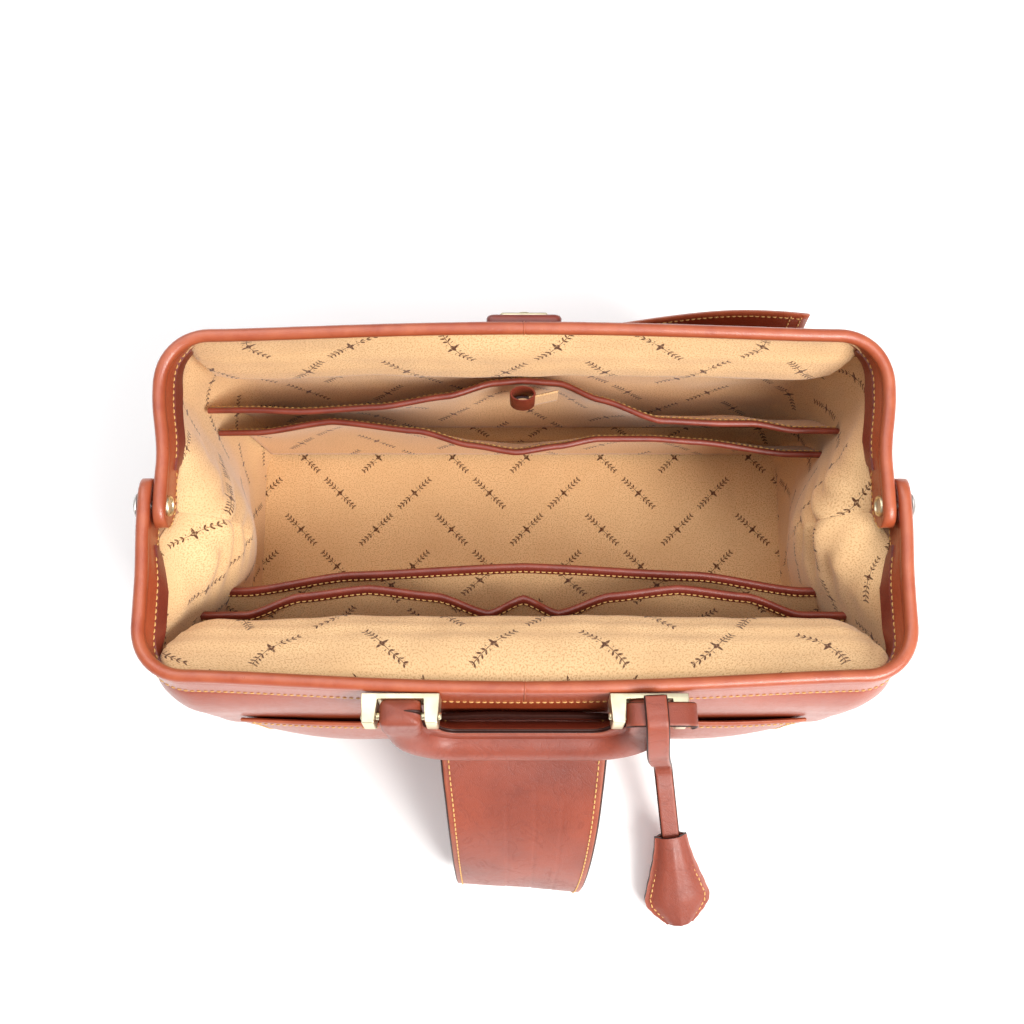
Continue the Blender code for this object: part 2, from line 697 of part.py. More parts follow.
def handle_line(steps):
    """The handle's middle line in its own plane: (x, drop) and the direction towards its inside."""
    neck = BRACKET_X
    arc_x = neck - HANDLE_BEND
    arc_drop = HANDLE_DROP - HANDLE_BEND
    points = [((-neck, drop), (1, 0)) for drop in (0.0076, 0.011)]
    for k in range(steps + 1):
        angle = math.pi / 2 * k / steps
        points.append(((-arc_x - HANDLE_BEND * math.cos(angle), arc_drop + HANDLE_BEND * math.sin(angle)),
                       (math.cos(angle), -math.sin(angle))))
    points += [((x, HANDLE_DROP), (0, -1)) for x in (-arc_x / 2, 0.0)]
    return points + [((-x, d), (-i, j)) for (x, d), (i, j) in points[-2::-1]]


def handle_rings(outline, steps=6):
    """Rings of an outline of (towards the inside, across) along the handle; outline takes the drop."""
    droop = math.radians(HANDLE_DROOP)
    along = Vector((0, -math.cos(droop), -math.sin(droop)))
    across = Vector((0, -math.sin(droop), math.cos(droop)))
    origin = Vector((0, *pin_place().yz))
    rings = []
    for (x, drop), (i, j) in handle_line(steps):
        centre = origin + Vector((x, 0, 0)) + along * drop
        inside = Vector((i, 0, 0)) + along * j
        rings.append([centre + inside * a + across * b for a, b in outline(drop)])
    return rings


def make_handle(joint):
    """Rope core, rolled leather grip with its sewn flange, and a metal eye on each pin."""
    sides = 14

    def grip_outline(drop):
        radius = HANDLE_NECK + (HANDLE_RADIUS - HANDLE_NECK) * ease((drop - 0.008) / 0.025)
        flange = FLANGE_DEPTH * ease((drop - 0.014) / 0.016)
        points = []
        for k in range(sides):
            angle = 2 * math.pi * (k + 0.5) / sides
            a = radius * math.cos(angle)
            b = radius * math.sin(angle)
            if k in (0, sides - 1):
                a += flange
                b = math.copysign(FLANGE_THICKNESS / 2, b)
            points.append((a, b))
        return points

    def bore_outline(drop):
        return [(HANDLE_BORE * math.cos(a), HANDLE_BORE * math.sin(a))
                for a in (2 * math.pi * (k + 0.5) / sides for k in range(sides))]

    def core_outline(drop):
        radius = HANDLE_BORE - GAP
        return [(radius * math.cos(a), radius * math.sin(a))
                for a in (2 * math.pi * (k + 0.5) / 10 for k in range(10))]

    piece("handle_grip", pipe(handle_rings(grip_outline), handle_rings(bore_outline)), "leather", joint)
    piece("handle_core", loft(handle_rings(core_outline)), "rope", joint)
    origin = pin_place()
    for name, side in (("left", -1), ("right", 1)):
        centre = Vector((side * BRACKET_X, origin.y, origin.z))
        width = 0.0090
        outer = []
        inner = []
        for x in (-width, width):
            angles = [2 * math.pi * k / 14 for k in range(14)]
            outer.append([centre + Vector((x, 0.0064 * math.cos(a), 0.0064 * math.sin(a))) for a in angles])
            inner.append([centre + Vector((x, 0.0022 * math.cos(a), 0.0022 * math.sin(a))) for a in angles])
        piece("handle_eye_" + name, pipe(outer, inner), "brass", joint)


# ---------------------------------------------------------------- closing strap
STRAP_ROUTE = ((-0.1089, 0.155), (-0.1092, 0.145), (-0.1096, 0.134), (-0.1140, 0.1265), (-0.1225, 0.1235),
               (-0.134, 0.1190), (-0.150, 0.1105), (-0.172, 0.094), (-0.192, 0.069), (-0.205, 0.041),
               (-0.2072, 0.0225), (-0.2010, 0.0095), (-0.188, 0.0042), (-0.168, 0.0030), (-0.146, 0.0030))
STRAP_HINGE = 6 / 14         # share of the route at which the strap starts to lift


def strap_point(share):
    """(Y, Z) on the strap's middle."""
    return spline([(0, y, z) for y, z in STRAP_ROUTE], share)


def strap_half_width(share):
    """The strap narrows towards its free end."""
    return 0.0460 - 0.0058 * ease((share - 0.40) / 0.60)


def strap_length(first, last, steps=200):
    """The length of the route between two shares."""
    points = [strap_point(first + (last - first) * k / steps) for k in range(steps + 1)]
    return sum((b - a).length for a, b in zip(points, points[1:]))


def strap_sheet(first, last, columns):
    """A stretch of the strap as a sheet, its outer face up."""
    def surface(u, v):
        share = first + (last - first) * u
        step = 0.002
        along = (strap_point(min(share + step, 1)) - strap_point(max(share - step, 0))).normalized()
        point = strap_point(share) + Vector((0, along.z, -along.y)) * STRAP_THICKNESS / 2
        return ((2 * v - 1) * strap_half_width(share), point.y, point.z)
    return panel(surface, columns, 4, STRAP_THICKNESS)


def make_strap(joint):
    """The sewn-on root, the free length of the strap and the brass tongue on its end."""
    whole = strap_length(0, 1)
    share = STRAP_HINGE_GAP / 2 / whole
    piece("strap_root", strap_sheet(0, STRAP_HINGE - share, 8), "leather", sharp=50)
    piece("closing_strap", strap_sheet(STRAP_HINGE + share, 1, 18), "leather", joint, sharp=50)
    end = strap_point(1)
    low = (-0.013, end.y + GAP, end.z - 0.0009)
    high = (0.013, end.y + GAP + 0.018, end.z + 0.0009)
    tongue = piece("strap_tongue", box(low, high), "brass", joint)
    slot = piece("tongue_slot", box((-0.0045, low[1] + 0.006, -0.01), (0.0045, low[1] + 0.013, 0.02)), "brass")
    slot.hide_render = True
    slot.display_type = "WIRE"
    cut(tongue, slot)


# ---------------------------------------------------------------- key fob
BELL_AXIS = Vector((0.120, -0.930, -0.345)).normalized()
BELL_ENTRY = Vector((0.0953, -0.178, 0.0262))
FOB_BEND = BELL_ENTRY - BELL_AXIS * 0.042
THONG_ROUTE = ((0.0665, -0.1238, 0.1950), (0.0680, -0.1292, 0.1830), (0.0710, -0.1330, 0.1640),
               (0.0755, -0.1345, 0.1370), (0.0800, -0.1342, 0.1060), (0.0845, -0.1342, 0.0760),
               (0.0880, -0.1346, 0.0540))


def ribbon(points, directions, width, thickness):
    """A flat thong through the points; directions are across its width."""
    rings = []
    for k, point in enumerate(points):
        along = (points[min(k + 1, len(points) - 1)] - points[max(k - 1, 0)]).normalized()
        across = directions[k].normalized()
        face = along.cross(across).normalized()
        rings.append([point + across * a * width / 2 + face * b * thickness / 2
                      for a, b in ((-1, -1), (1, -1), (1, 1), (-1, 1))])
    return loft(rings)


def make_fob(frame_joint, thong_joint, end_joint, bell_joint):
    """The loop on the bracket, the thong, its tail with the key, and the leather bell over it."""
    face, out, down = bracket_face()
    ear_x = BRACKET_X + BRACKET_WIDTH / 2 - EAR_THICKNESS / 2 - 0.0006
    middle = face + out * 0.0102
    rings = []
    for n in (-0.0038, 0.0048):
        outer = rounded_rectangle(0.0060, 0.0098, 0.0020, 2)
        inner = rounded_rectangle(0.0041, 0.0079, 0.0010, 2)
        rings.append([[Vector((ear_x + x, *(middle + out * n + down * h).yz)) for x, h in line]
                      for line in (outer, inner)])
    loop = pipe([pair[0] for pair in rings], [pair[1] for pair in rings])
    band = piece("fob_loop", loop, "leather", frame_joint)
    punch = turned([(0.06, 0.0026), (0.10, 0.0026)], Vector((0, *pin_place().yz)), (1, 0, 0), 12)
    cutter = piece("loop_punch", punch, "leather")
    cutter.hide_render = True
    cutter.display_type = "WIRE"
    cut(band, cutter)

    route = list(THONG_ROUTE) + [tuple(FOB_BEND - BELL_AXIS * 0.0012)]
    points = [spline(route, k / 20) for k in range(21)]
    sideways = Vector((1, 0.06, 0))
    piece("fob_thong", ribbon(points, [sideways] * 21, THONG_WIDTH, THONG_THICKNESS), "leather", thong_joint)
    across = BELL_AXIS.cross(Vector((0, 0, 1))).normalized()
    tail = [FOB_BEND + BELL_AXIS * (0.0012 + 0.0520 * k / 4) for k in range(5)]
    piece("fob_tail", ribbon(tail, [across] * 5, THONG_WIDTH, THONG_THICKNESS), "leather", end_joint)

    up = across.cross(BELL_AXIS)
    start = BELL_ENTRY + BELL_AXIS * 0.0118
    key_line = [(0.0, 0.0040), (0.002, 0.0058), (0.010, 0.0058), (0.0125, 0.0020), (0.026, 0.0020),
                (0.0262, 0.0042), (0.032, 0.0042), (0.033, 0.0018)]
    outline = [start + BELL_AXIS * s + across * w for s, w in key_line]
    outline += [start + BELL_AXIS * s - across * min(w, 0.0020 if s > 0.02 else w) for s, w in key_line[::-1]]
    rings = [[point + up * h for point in outline] for h in (-0.0008, 0.0008)]
    piece("key", loft(rings), "steel", end_joint)

    stations = ((0.0, 0.0108, 0.0046), (0.010, 0.0120, 0.0058), (0.026, 0.0162, 0.0066),
                (0.0415, 0.0212, 0.0062), (0.0475, 0.0185, 0.0058), (0.0545, 0.0128, 0.0050),
                (BELL_LENGTH, 0.0086, 0.0042))
    outer = []
    inner = []
    for s, wide, thick in stations:
        centre = BELL_ENTRY + BELL_AXIS * s
        for rings, inset in ((outer, 0.0), (inner, BELL_WALL)):
            ring = []
            for k in range(16):
                angle = 2 * math.pi * k / 16
                a = (wide - inset) * math.copysign(abs(math.cos(angle)) ** 0.8, math.cos(angle))
                b = (thick - inset * 0.9) * math.sin(angle)
                ring.append(centre + across * a + up * b)
            rings.append(ring)
    piece("fob_bell", pipe(outer, inner), "leather", bell_joint)


# ---------------------------------------------------------------- lock
LOCK_SHIFT = 0.0006


def make_lock(frame_joint, button_joint):
    """The padded patch, the lock case and its push button, on the back bar."""
    face, out, down = bar_frame(BACK, 0.0)

    def block(half_x, half_h, near, far):
        rings = [[face + Vector((x, 0, 0)) + out * n + down * (h + LOCK_SHIFT)
                  for x, h in rounded_rectangle(half_x, half_h, 0.003, 3)] for n in (near, far)]
        return loft(rings)

    patch = piece("lock_patch", block(0.0205, 0.0080, GAP, 0.0050), "dark_leather", frame_joint)
    window = piece("lock_window", block(0.0134, 0.0054, -0.002, 0.010), "dark_leather")
    case = piece("lock_case", block(0.0130, 0.0050, GAP, 0.0062), "brass", frame_joint)
    centre = face + down * LOCK_SHIFT
    bore = piece("button_bore", turned([(0.0020, 0.0034), (0.0100, 0.0034)], centre, out, 16), "brass")
    for made, cutter in ((patch, window), (case, bore)):
        cutter.hide_render = True
        cutter.display_type = "WIRE"
        cut(made, cutter)
    button = [(0.0038, 0.0030), (0.0063, 0.0030), (0.0068, 0.0024)]
    piece("lock_button", turned(button, centre, out, 16), "brass", button_joint)


def main():
    """Clears the scene and builds the bag."""
    for old in list(bpy.data.objects):
        bpy.data.objects.remove(old)
    hinge = (0, 0, HINGE_Z)
    front = joint_empty("front_frame_axis", hinge)
    back = joint_empty("back_frame_axis", hinge)
    pin = Vector((0, *pin_place().yz))
    handle = joint_empty("handle_axis", pin, front)
    thong = joint_empty("fob_thong_axis", pin, front)
    fob_end = joint_empty("fob_end_axis", FOB_BEND, thong)
    bell = joint_empty("fob_bell_axis", BELL_ENTRY, fob_end)
    strap = joint_empty("strap_axis", strap_point(STRAP_HINGE))
    face, _, down = bar_frame(BACK, 0.0)
    button = joint_empty("lock_button_axis", face + down * LOCK_SHIFT, back)

    make_base()
    make_walls()
    make_front_pocket()
    make_back_pocket()
    make_inner_pockets()
    holes = hole_cutters()
    make_frame_half("front", FRONT, front, holes)
    make_frame_half("back", BACK, back, holes)
    make_pivots()
    make_brackets(front)
    make_handle(handle)
    make_strap(strap)
    make_fob(front, thong, fob_end, bell)
    make_lock(back, button)


main()
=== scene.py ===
"""The looks of an open leather doctor bag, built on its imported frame.

Metres, +Z up. +X runs along the mouth, -Y is the handle side (the near side) and +Y the lock side.
Leather, cloth, thread and metal are each built as the maker would cut and sew them.
"""

import math
import random

import bmesh
import bpy
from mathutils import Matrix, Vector, noise


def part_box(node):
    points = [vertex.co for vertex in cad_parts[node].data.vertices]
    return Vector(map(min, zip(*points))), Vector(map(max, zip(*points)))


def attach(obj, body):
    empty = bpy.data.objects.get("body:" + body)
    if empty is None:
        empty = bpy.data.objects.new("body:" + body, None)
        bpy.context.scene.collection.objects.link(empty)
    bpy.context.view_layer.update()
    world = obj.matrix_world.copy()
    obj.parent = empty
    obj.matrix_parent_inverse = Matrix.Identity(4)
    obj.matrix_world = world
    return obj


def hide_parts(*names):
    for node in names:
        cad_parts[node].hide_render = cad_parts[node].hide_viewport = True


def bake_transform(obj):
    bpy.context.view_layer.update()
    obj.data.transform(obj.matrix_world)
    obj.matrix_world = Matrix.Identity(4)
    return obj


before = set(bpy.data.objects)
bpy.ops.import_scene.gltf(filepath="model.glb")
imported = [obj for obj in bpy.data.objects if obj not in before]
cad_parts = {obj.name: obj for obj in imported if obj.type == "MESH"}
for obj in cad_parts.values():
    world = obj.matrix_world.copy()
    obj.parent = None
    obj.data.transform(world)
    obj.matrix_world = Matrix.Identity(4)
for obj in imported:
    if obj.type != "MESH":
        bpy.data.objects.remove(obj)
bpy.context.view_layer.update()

# ---------------------------------------------------------------- sizes shared with the frame
HINGE_Z = 0.185
CORNER = 0.028
STRIP = 0.024                # depth of the covered frame
HALF_STRIP = 0.0027
BEAD = 0.0035                # radius of the rolled rim
PIVOT_RISE = 0.010
# Each frame half: which way it opens, its tilt, the outward lean of its bar, how far the bar stands from
# the pivots, the bar's bow, half its width at the bar and at the arms, how far the arms run past the
# pivots, and the arms' lean. Angles are in degrees.
NEAR = {"sign": -1, "tilt": 5, "flare": 6, "reach": 0.0908, "bow": 0.006,
        "bar": 0.2025, "arm": 0.2025, "tail": 0.0150, "splay": -15}
FAR = {"sign": 1, "tilt": 13, "flare": 7, "reach": 0.0922, "bow": 0.004,
       "bar": 0.1985, "arm": 0.1941, "tail": 0.0118, "splay": -9}
# How far the near, far and side walls stand from the middle of the bag: (height, distance).
NEAR_PROFILE = ((0.007, 0.0955), (0.045, 0.1045), (0.095, 0.1085), (0.14, 0.1068), (0.1688, 0.1022))
FAR_PROFILE = ((0.007, 0.0955), (0.045, 0.1035), (0.10, 0.1065), (0.15, 0.1065), (0.1798, 0.1048))
SIDE_PROFILE = ((0.007, 0.1855), (0.05, 0.1915), (0.10, 0.1975), (0.15, 0.2025), (0.18, 0.2050))
WALL_FOOT = 0.0074
FLOOR_Z = 0.0118
GUSSET_FOLD = 0.027
BRACKET_X = 0.0632
PIN_REACH = 0.0105
STITCH_PITCH = 0.0035
WALL_LEATHER = 0.0021        # thickness
POCKET_LEATHER = 0.0022
STRAP_LEATHER = 0.0034
LINING_CLOTH = 0.0008
POCKET_SHEET = 0.0009
THREAD_ROW = -0.0216         # the frame's outer row of stitches, under its rim

rng = random.Random(7)


# ---------------------------------------------------------------- smooth numbers and lines
def ease(value):
    """0 to 1 with soft ends."""
    value = min(max(value, 0.0), 1.0)
    return value * value * (3 - 2 * value)


def mix(a, b, share):
    """From a to b; works on numbers and vectors."""
    return a + (b - a) * share


def spline(points, t):
    """A smooth line through the points, for t from 0 to 1."""
    points = [Vector(point) for point in points]
    last = len(points) - 1
    place = min(max(t, 0.0), 1.0) * last
    k = min(int(place), last - 1)
    f = place - k
    a = points[k - 1] if k else points[0] * 2 - points[1]
    b = points[k]
    c = points[k + 1]
    d = points[k + 2] if k + 2 <= last else points[last] * 2 - points[last - 1]
    return 0.5 * (2 * b + (c - a) * f + (2 * a - 5 * b + 4 * c - d) * f * f
                  + (3 * b - 3 * c + d - a) * f * f * f)


def table(stations, x):
    """Reads a table of (x, value) stations with soft steps between them."""
    if x <= stations[0][0]:
        return stations[0][1]
    for (x0, a), (x1, b) in zip(stations, stations[1:]):
        if x <= x1:
            f = (x - x0) / (x1 - x0)
            return mix(a, b, 0.5 * f + 0.5 * ease(f))
    return stations[-1][1]


def ripple(x, y, z, scale, seed=0.0):
    """Smooth noise of about -1 to 1."""
    return noise.noise(Vector((x * scale + seed, y * scale - seed, z * scale + 0.5 * seed)))


def evenly(line, spacing):
    """Places along a polyline at even steps: (point, direction, share)."""
    lengths = [0.0]
    for a, b in zip(line, line[1:]):
        lengths.append(lengths[-1] + (b - a).length)
    count = max(int(lengths[-1] / spacing), 1)
    places = []
    k = 0
    for i in range(count):
        at = lengths[-1] * (i + 0.5) / count
        while lengths[k + 1] < at:
            k += 1
        f = (at - lengths[k]) / max(lengths[k + 1] - lengths[k], 1e-9)
        places.append((line[k].lerp(line[k + 1], f), (line[k + 1] - line[k]).normalized(), k + f))
    return places


# ---------------------------------------------------------------- node materials
def node(tree, kind, inputs=None, **settings):
    """Adds a node; inputs are values or sockets, by name or number."""
    made = tree.nodes.new("ShaderNode" + kind)
    for key, value in settings.items():
        setattr(made, key, value)
    for key, value in (inputs or {}).items():
        socket = made.inputs[key]
        if isinstance(value, bpy.types.NodeSocket):
            tree.links.new(value, socket)
        else:
            socket.default_value = value
    return made


def maths(tree, operation, *values):
    """A Math node's result."""
    return node(tree, "Math", dict(enumerate(values)), operation=operation).outputs[0]


def blend_colour(tree, factor, first, second, way="MIX"):
    """A Mix node for colours."""
    made = node(tree, "Mix", {0: factor}, data_type="RGBA", blend_type=way)
    for socket, value in ((made.inputs[6], first), (made.inputs[7], second)):
        if isinstance(value, bpy.types.NodeSocket):
            tree.links.new(value, socket)
        else:
            socket.default_value = value
    return made.outputs[2]


def stretch(tree, value, low, high, to_low=0.0, to_high=1.0):
    """Map Range, clamped."""
    keys = {"Value": value, "From Min": low, "From Max": high, "To Min": to_low, "To Max": to_high}
    return node(tree, "MapRange", keys).outputs[0]


def new_group(name, inputs, outputs):
    """An empty shader group with named sockets: (tree, its input node, its output node)."""
    tree = bpy.data.node_groups.new(name, "ShaderNodeTree")
    for label, kind, value in inputs:
        socket = tree.interface.new_socket(label, in_out="INPUT", socket_type="NodeSocket" + kind)
        socket.default_value = value
    for label, kind in outputs:
        tree.interface.new_socket(label, in_out="OUTPUT", socket_type="NodeSocket" + kind)
    return tree, tree.nodes.new("NodeGroupInput"), tree.nodes.new("NodeGroupOutput")


def at_rest(tree):
    """Coordinates, in metres, of the piece as it was made."""
    return node(tree, "Attribute", attribute_name="rest").outputs["Vector"]


def make_grain_group():
    """Leather: hue drifts over the hide, fine pebbled grain, pores and a few long natural creases."""
    tree, given, out = new_group(
        "hide_grain",
        [("Colour", "Color", (0.4, 0.1, 0.05, 1)), ("Deep", "Color", (0.25, 0.05, 0.03, 1)),
         ("Grain", "Float", 900.0), ("Mottle", "Float", 0.5), ("Creases", "Float", 0.3)],
        [("Colour", "Color"), ("Roughness", "Float"), ("Height", "Float")])
    place = at_rest(tree)
    cloudy = node(tree, "TexNoise", {"Vector": place, "Scale": 22.0, "Detail": 4.0}).outputs["Fac"]
    blotch = stretch(tree, cloudy, 0.35, 0.70)
    fine = node(tree, "TexNoise", {"Vector": place, "Scale": 320.0, "Detail": 3.0}).outputs["Fac"]
    cells = node(tree, "TexVoronoi", {"Vector": place, "Scale": given.outputs["Grain"]},
                 feature="DISTANCE_TO_EDGE").outputs["Distance"]
    valley = stretch(tree, cells, 0.0, 0.16)
    vein = node(tree, "TexNoise",
                {"Vector": place, "Scale": 48.0, "Detail": 5.0, "Distortion": 1.2}).outputs["Fac"]
    line = stretch(tree, maths(tree, "ABSOLUTE", maths(tree, "SUBTRACT", vein, 0.5)), 0.0, 0.022)
    crease = maths(tree, "MULTIPLY", maths(tree, "SUBTRACT", 1.0, line), given.outputs["Creases"])
    share = maths(tree, "MULTIPLY", blotch, given.outputs["Mottle"])
    colour = blend_colour(tree, share, given.outputs["Colour"], given.outputs["Deep"])
    pores = stretch(tree, fine, 0.30, 0.48, 0.22, 0.0)
    colour = blend_colour(tree, pores, colour, given.outputs["Deep"])
    colour = blend_colour(tree, maths(tree, "MULTIPLY", crease, 0.5), colour, given.outputs["Deep"])
    tree.links.new(colour, out.inputs["Colour"])
    rough = maths(tree, "MULTIPLY_ADD", fine, 0.22, maths(tree, "MULTIPLY", crease, 0.2))
    tree.links.new(rough, out.inputs["Roughness"])
    height = maths(tree, "MULTIPLY_ADD", valley, 0.55, maths(tree, "MULTIPLY", fine, 0.5))
    tree.links.new(maths(tree, "SUBTRACT", height, crease), out.inputs["Height"])
    return tree


def make_wear_group():
    """Edges that hands have rubbed: paler where the piece's own wear mask is high."""
    tree, given, out = new_group(
        "rubbed_edges",
        [("Colour", "Color", (0.4, 0.1, 0.05, 1)), ("Rubbed", "Color", (0.55, 0.2, 0.1, 1)),
         ("Amount", "Float", 0.5)],
        [("Colour", "Color"), ("Mask", "Float")])
    mask = node(tree, "Attribute", attribute_name="wear").outputs["Fac"]
    patchy = node(tree, "TexNoise", {"Vector": at_rest(tree), "Scale": 85.0, "Detail": 4.0}).outputs["Fac"]
    worn = maths(tree, "MULTIPLY", mask, stretch(tree, patchy, 0.25, 0.65))
    worn = maths(tree, "MULTIPLY", worn, given.outputs["Amount"])
    tree.links.new(blend_colour(tree, worn, given.outputs["Colour"], given.outputs["Rubbed"]),
                   out.inputs["Colour"])
    tree.links.new(worn, out.inputs["Mask"])
    return tree


def make_sprig_group():
    """A printed sprig every 53 mm, its slant changing from one to the next, on staggered rows."""
    tree, given, out = new_group(
        "printed_sprigs",
        [("Place", "Vector", (0, 0, 0)), ("Pitch", "Float", 0.053), ("Length", "Float", 0.0150)],
        [("Mask", "Float")])
    split = node(tree, "SeparateXYZ", {0: given.outputs["Place"]})
    pitch = given.outputs["Pitch"]
    row_pitch = maths(tree, "MULTIPLY", pitch, 0.5)
    row = maths(tree, "FLOOR", maths(tree, "DIVIDE", split.outputs["Y"], row_pitch))
    odd = maths(tree, "PINGPONG", row, 1.0)
    shifted = maths(tree, "ADD", maths(tree, "DIVIDE", split.outputs["X"], pitch),
                    maths(tree, "MULTIPLY", odd, 0.5))
    column = maths(tree, "FLOOR", shifted)
    x = maths(tree, "MULTIPLY", maths(tree, "SUBTRACT", maths(tree, "SUBTRACT", shifted, column), 0.5),
              pitch)
    rows = maths(tree, "DIVIDE", split.outputs["Y"], row_pitch)
    y = maths(tree, "MULTIPLY", maths(tree, "SUBTRACT", maths(tree, "SUBTRACT", rows, row), 0.5), row_pitch)
    lean = maths(tree, "PINGPONG", maths(tree, "ADD", column, row), 1.0)
    turn = maths(tree, "MULTIPLY_ADD", lean, 2.0, -1.0)
    y = maths(tree, "MULTIPLY", y, turn)
    along = maths(tree, "MULTIPLY", maths(tree, "ADD", x, y), 0.7071)
    across = maths(tree, "ABSOLUTE", maths(tree, "MULTIPLY", maths(tree, "SUBTRACT", x, y), 0.7071))
    reach = maths(tree, "ABSOLUTE", along)

    def oval(u, half_u, v, half_v):
        first = maths(tree, "POWER", maths(tree, "DIVIDE", u, half_u), 2.0)
        second = maths(tree, "POWER", maths(tree, "DIVIDE", v, half_v), 2.0)
        return stretch(tree, maths(tree, "ADD", first, second), 0.8, 1.2, 1.0, 0.0)

    step = maths(tree, "SUBTRACT", maths(tree, "MODULO", maths(tree, "ADD", reach, 0.0008), 0.0028), 0.0014)
    swept = maths(tree, "SUBTRACT", step, maths(tree, "MULTIPLY", across, 0.6))
    leaves = oval(maths(tree, "ADD", swept, 0.0008), 0.00062, maths(tree, "SUBTRACT", across, 0.0011),
                  0.0010)
    inside = maths(tree, "MULTIPLY", stretch(tree, reach, 0.0034, 0.0038),
                   maths(tree, "LESS_THAN", reach, given.outputs["Length"]))
    leaves = maths(tree, "MULTIPLY", leaves, inside)
    stem = maths(tree, "MULTIPLY", stretch(tree, across, 0.00012, 0.00026, 1.0, 0.0),
                 maths(tree, "LESS_THAN", reach, given.outputs["Length"]))
    bud = maths(tree, "MAXIMUM", oval(reach, 0.0020, across, 0.0010), oval(reach, 0.0008, across, 0.0036))
    mark = maths(tree, "MAXIMUM", maths(tree, "MAXIMUM", leaves, stem), bud)
    patchy = node(tree, "TexNoise", {"Vector": given.outputs["Place"], "Scale": 900.0,
                                     "Detail": 2.0}).outputs["Fac"]
    tree.links.new(maths(tree, "MULTIPLY", mark, stretch(tree, patchy, 0.30, 0.50, 0.45, 1.0)),
                   out.inputs["Mask"])
    return tree


def make_nap_group():
    """Brushed cloth: a fine nap with darker specks and a soft drift of tone."""
    tree, given, out = new_group(
        "brushed_nap",
        [("Place", "Vector", (0, 0, 0)), ("Colour", "Color", (0.7, 0.5, 0.3, 1)),
         ("Shade", "Color", (0.5, 0.3, 0.15, 1))],
        [("Colour", "Color"), ("Height", "Float")])
    speck = node(tree, "TexNoise", {"Vector": given.outputs["Place"], "Scale": 1150.0,
                                    "Detail": 2.0}).outputs["Fac"]
    fibre = node(tree, "TexNoise", {"Vector": given.outputs["Place"], "Scale": 2600.0,
                                    "Detail": 1.0}).outputs["Fac"]
    drift = node(tree, "TexNoise", {"Vector": given.outputs["Place"], "Scale": 30.0,
                                    "Detail": 3.0}).outputs["Fac"]
    dots = stretch(tree, speck, 0.38, 0.54, 0.80, 0.0)
    tone = maths(tree, "MAXIMUM", dots, stretch(tree, drift, 0.3, 0.8, 0.0, 0.4))
    tree.links.new(blend_colour(tree, tone, given.outputs["Colour"], given.outputs["Shade"]),
                   out.inputs["Colour"])
    tree.links.new(maths(tree, "ADD", speck, maths(tree, "MULTIPLY", fibre, 0.6)), out.inputs["Height"])
    return tree


def make_patina_group():
    """Metal with cloudy browner patches of patina over its bright colour, with fine handling scratches."""
    tree, given, out = new_group(
        "metal_patina",
        [("Colour", "Color", (0.7, 0.6, 0.4, 1)), ("Tarnish", "Color", (0.3, 0.22, 0.12, 1)),
         ("Amount", "Float", 0.4)],
        [("Colour", "Color"), ("Roughness", "Float"), ("Height", "Float")])
    place = at_rest(tree)
    cloudy = node(tree, "TexNoise", {"Vector": place, "Scale": 130.0, "Detail": 5.0}).outputs["Fac"]
    drawn = node(tree, "Mapping", {"Vector": place, "Scale": (0.12, 1.0, 1.0)})
    scratch = node(tree, "TexNoise",
                   {"Vector": drawn.outputs[0], "Scale": 2400.0, "Detail": 2.0}).outputs["Fac"]
    share = maths(tree, "MULTIPLY", stretch(tree, cloudy, 0.40, 0.75), given.outputs["Amount"])
    tree.links.new(blend_colour(tree, share, given.outputs["Colour"], given.outputs["Tarnish"]),
                   out.inputs["Colour"])
    tree.links.new(maths(tree, "MULTIPLY_ADD", cloudy, 0.18, maths(tree, "MULTIPLY", scratch, 0.14)),
                   out.inputs["Roughness"])
    tree.links.new(scratch, out.inputs["Height"])
    return tree


PRINT_BROWN = (0.10, 0.038, 0.018, 1)
GRAIN = make_grain_group()
RUBBED = make_wear_group()
SPRIGS = make_sprig_group()
NAP = make_nap_group()
PATINA = make_patina_group()


def blank_material(name):
    """A new material: (material, tree, shader)."""
    made = bpy.data.materials.new(name)
    made.use_nodes = True
    return made, made.node_tree, made.node_tree.nodes["Principled BSDF"]


def place_group(tree, group, values):
    """Puts a shader group into a material, with its own values."""
    made = node(tree, "Group")
    made.node_tree = group
    for key, value in values.items():
        if isinstance(value, bpy.types.NodeSocket):
            tree.links.new(value, made.inputs[key])
        else:
            made.inputs[key].default_value = value
    return made


def bump(tree, shader, height, strength, distance):
    """Feeds a height into the shader's normal."""
    made = node(tree, "Bump", {"Height": height, "Strength": strength, "Distance": distance})
    tree.links.new(made.outputs[0], shader.inputs["Normal"])


def leather(name, colour, deep, rubbed, gloss=0.30, grain=900.0, mottle=0.5, creases=0.25, coat=0.25,
            relief=0.25):
    """Finished hide: grain, tone and worn edges, under a thin wax."""
    made, tree, shader = blank_material(name)
    hide = place_group(tree, GRAIN, {"Colour": (*colour, 1), "Deep": (*deep, 1), "Grain": grain,
                                     "Mottle": mottle, "Creases": creases})
    worn = place_group(tree, RUBBED, {"Colour": hide.outputs["Colour"], "Rubbed": (*rubbed, 1),
                                      "Amount": 0.7})
    tree.links.new(worn.outputs["Colour"], shader.inputs["Base Color"])
    tree.links.new(maths(tree, "ADD", hide.outputs["Roughness"], gloss), shader.inputs["Roughness"])
    shader.inputs["Coat Weight"].default_value = coat
    shader.inputs["Coat Roughness"].default_value = 0.32
    shader.inputs["Specular IOR Level"].default_value = 0.55
    bump(tree, shader, hide.outputs["Height"], relief, 0.0004)
    return made


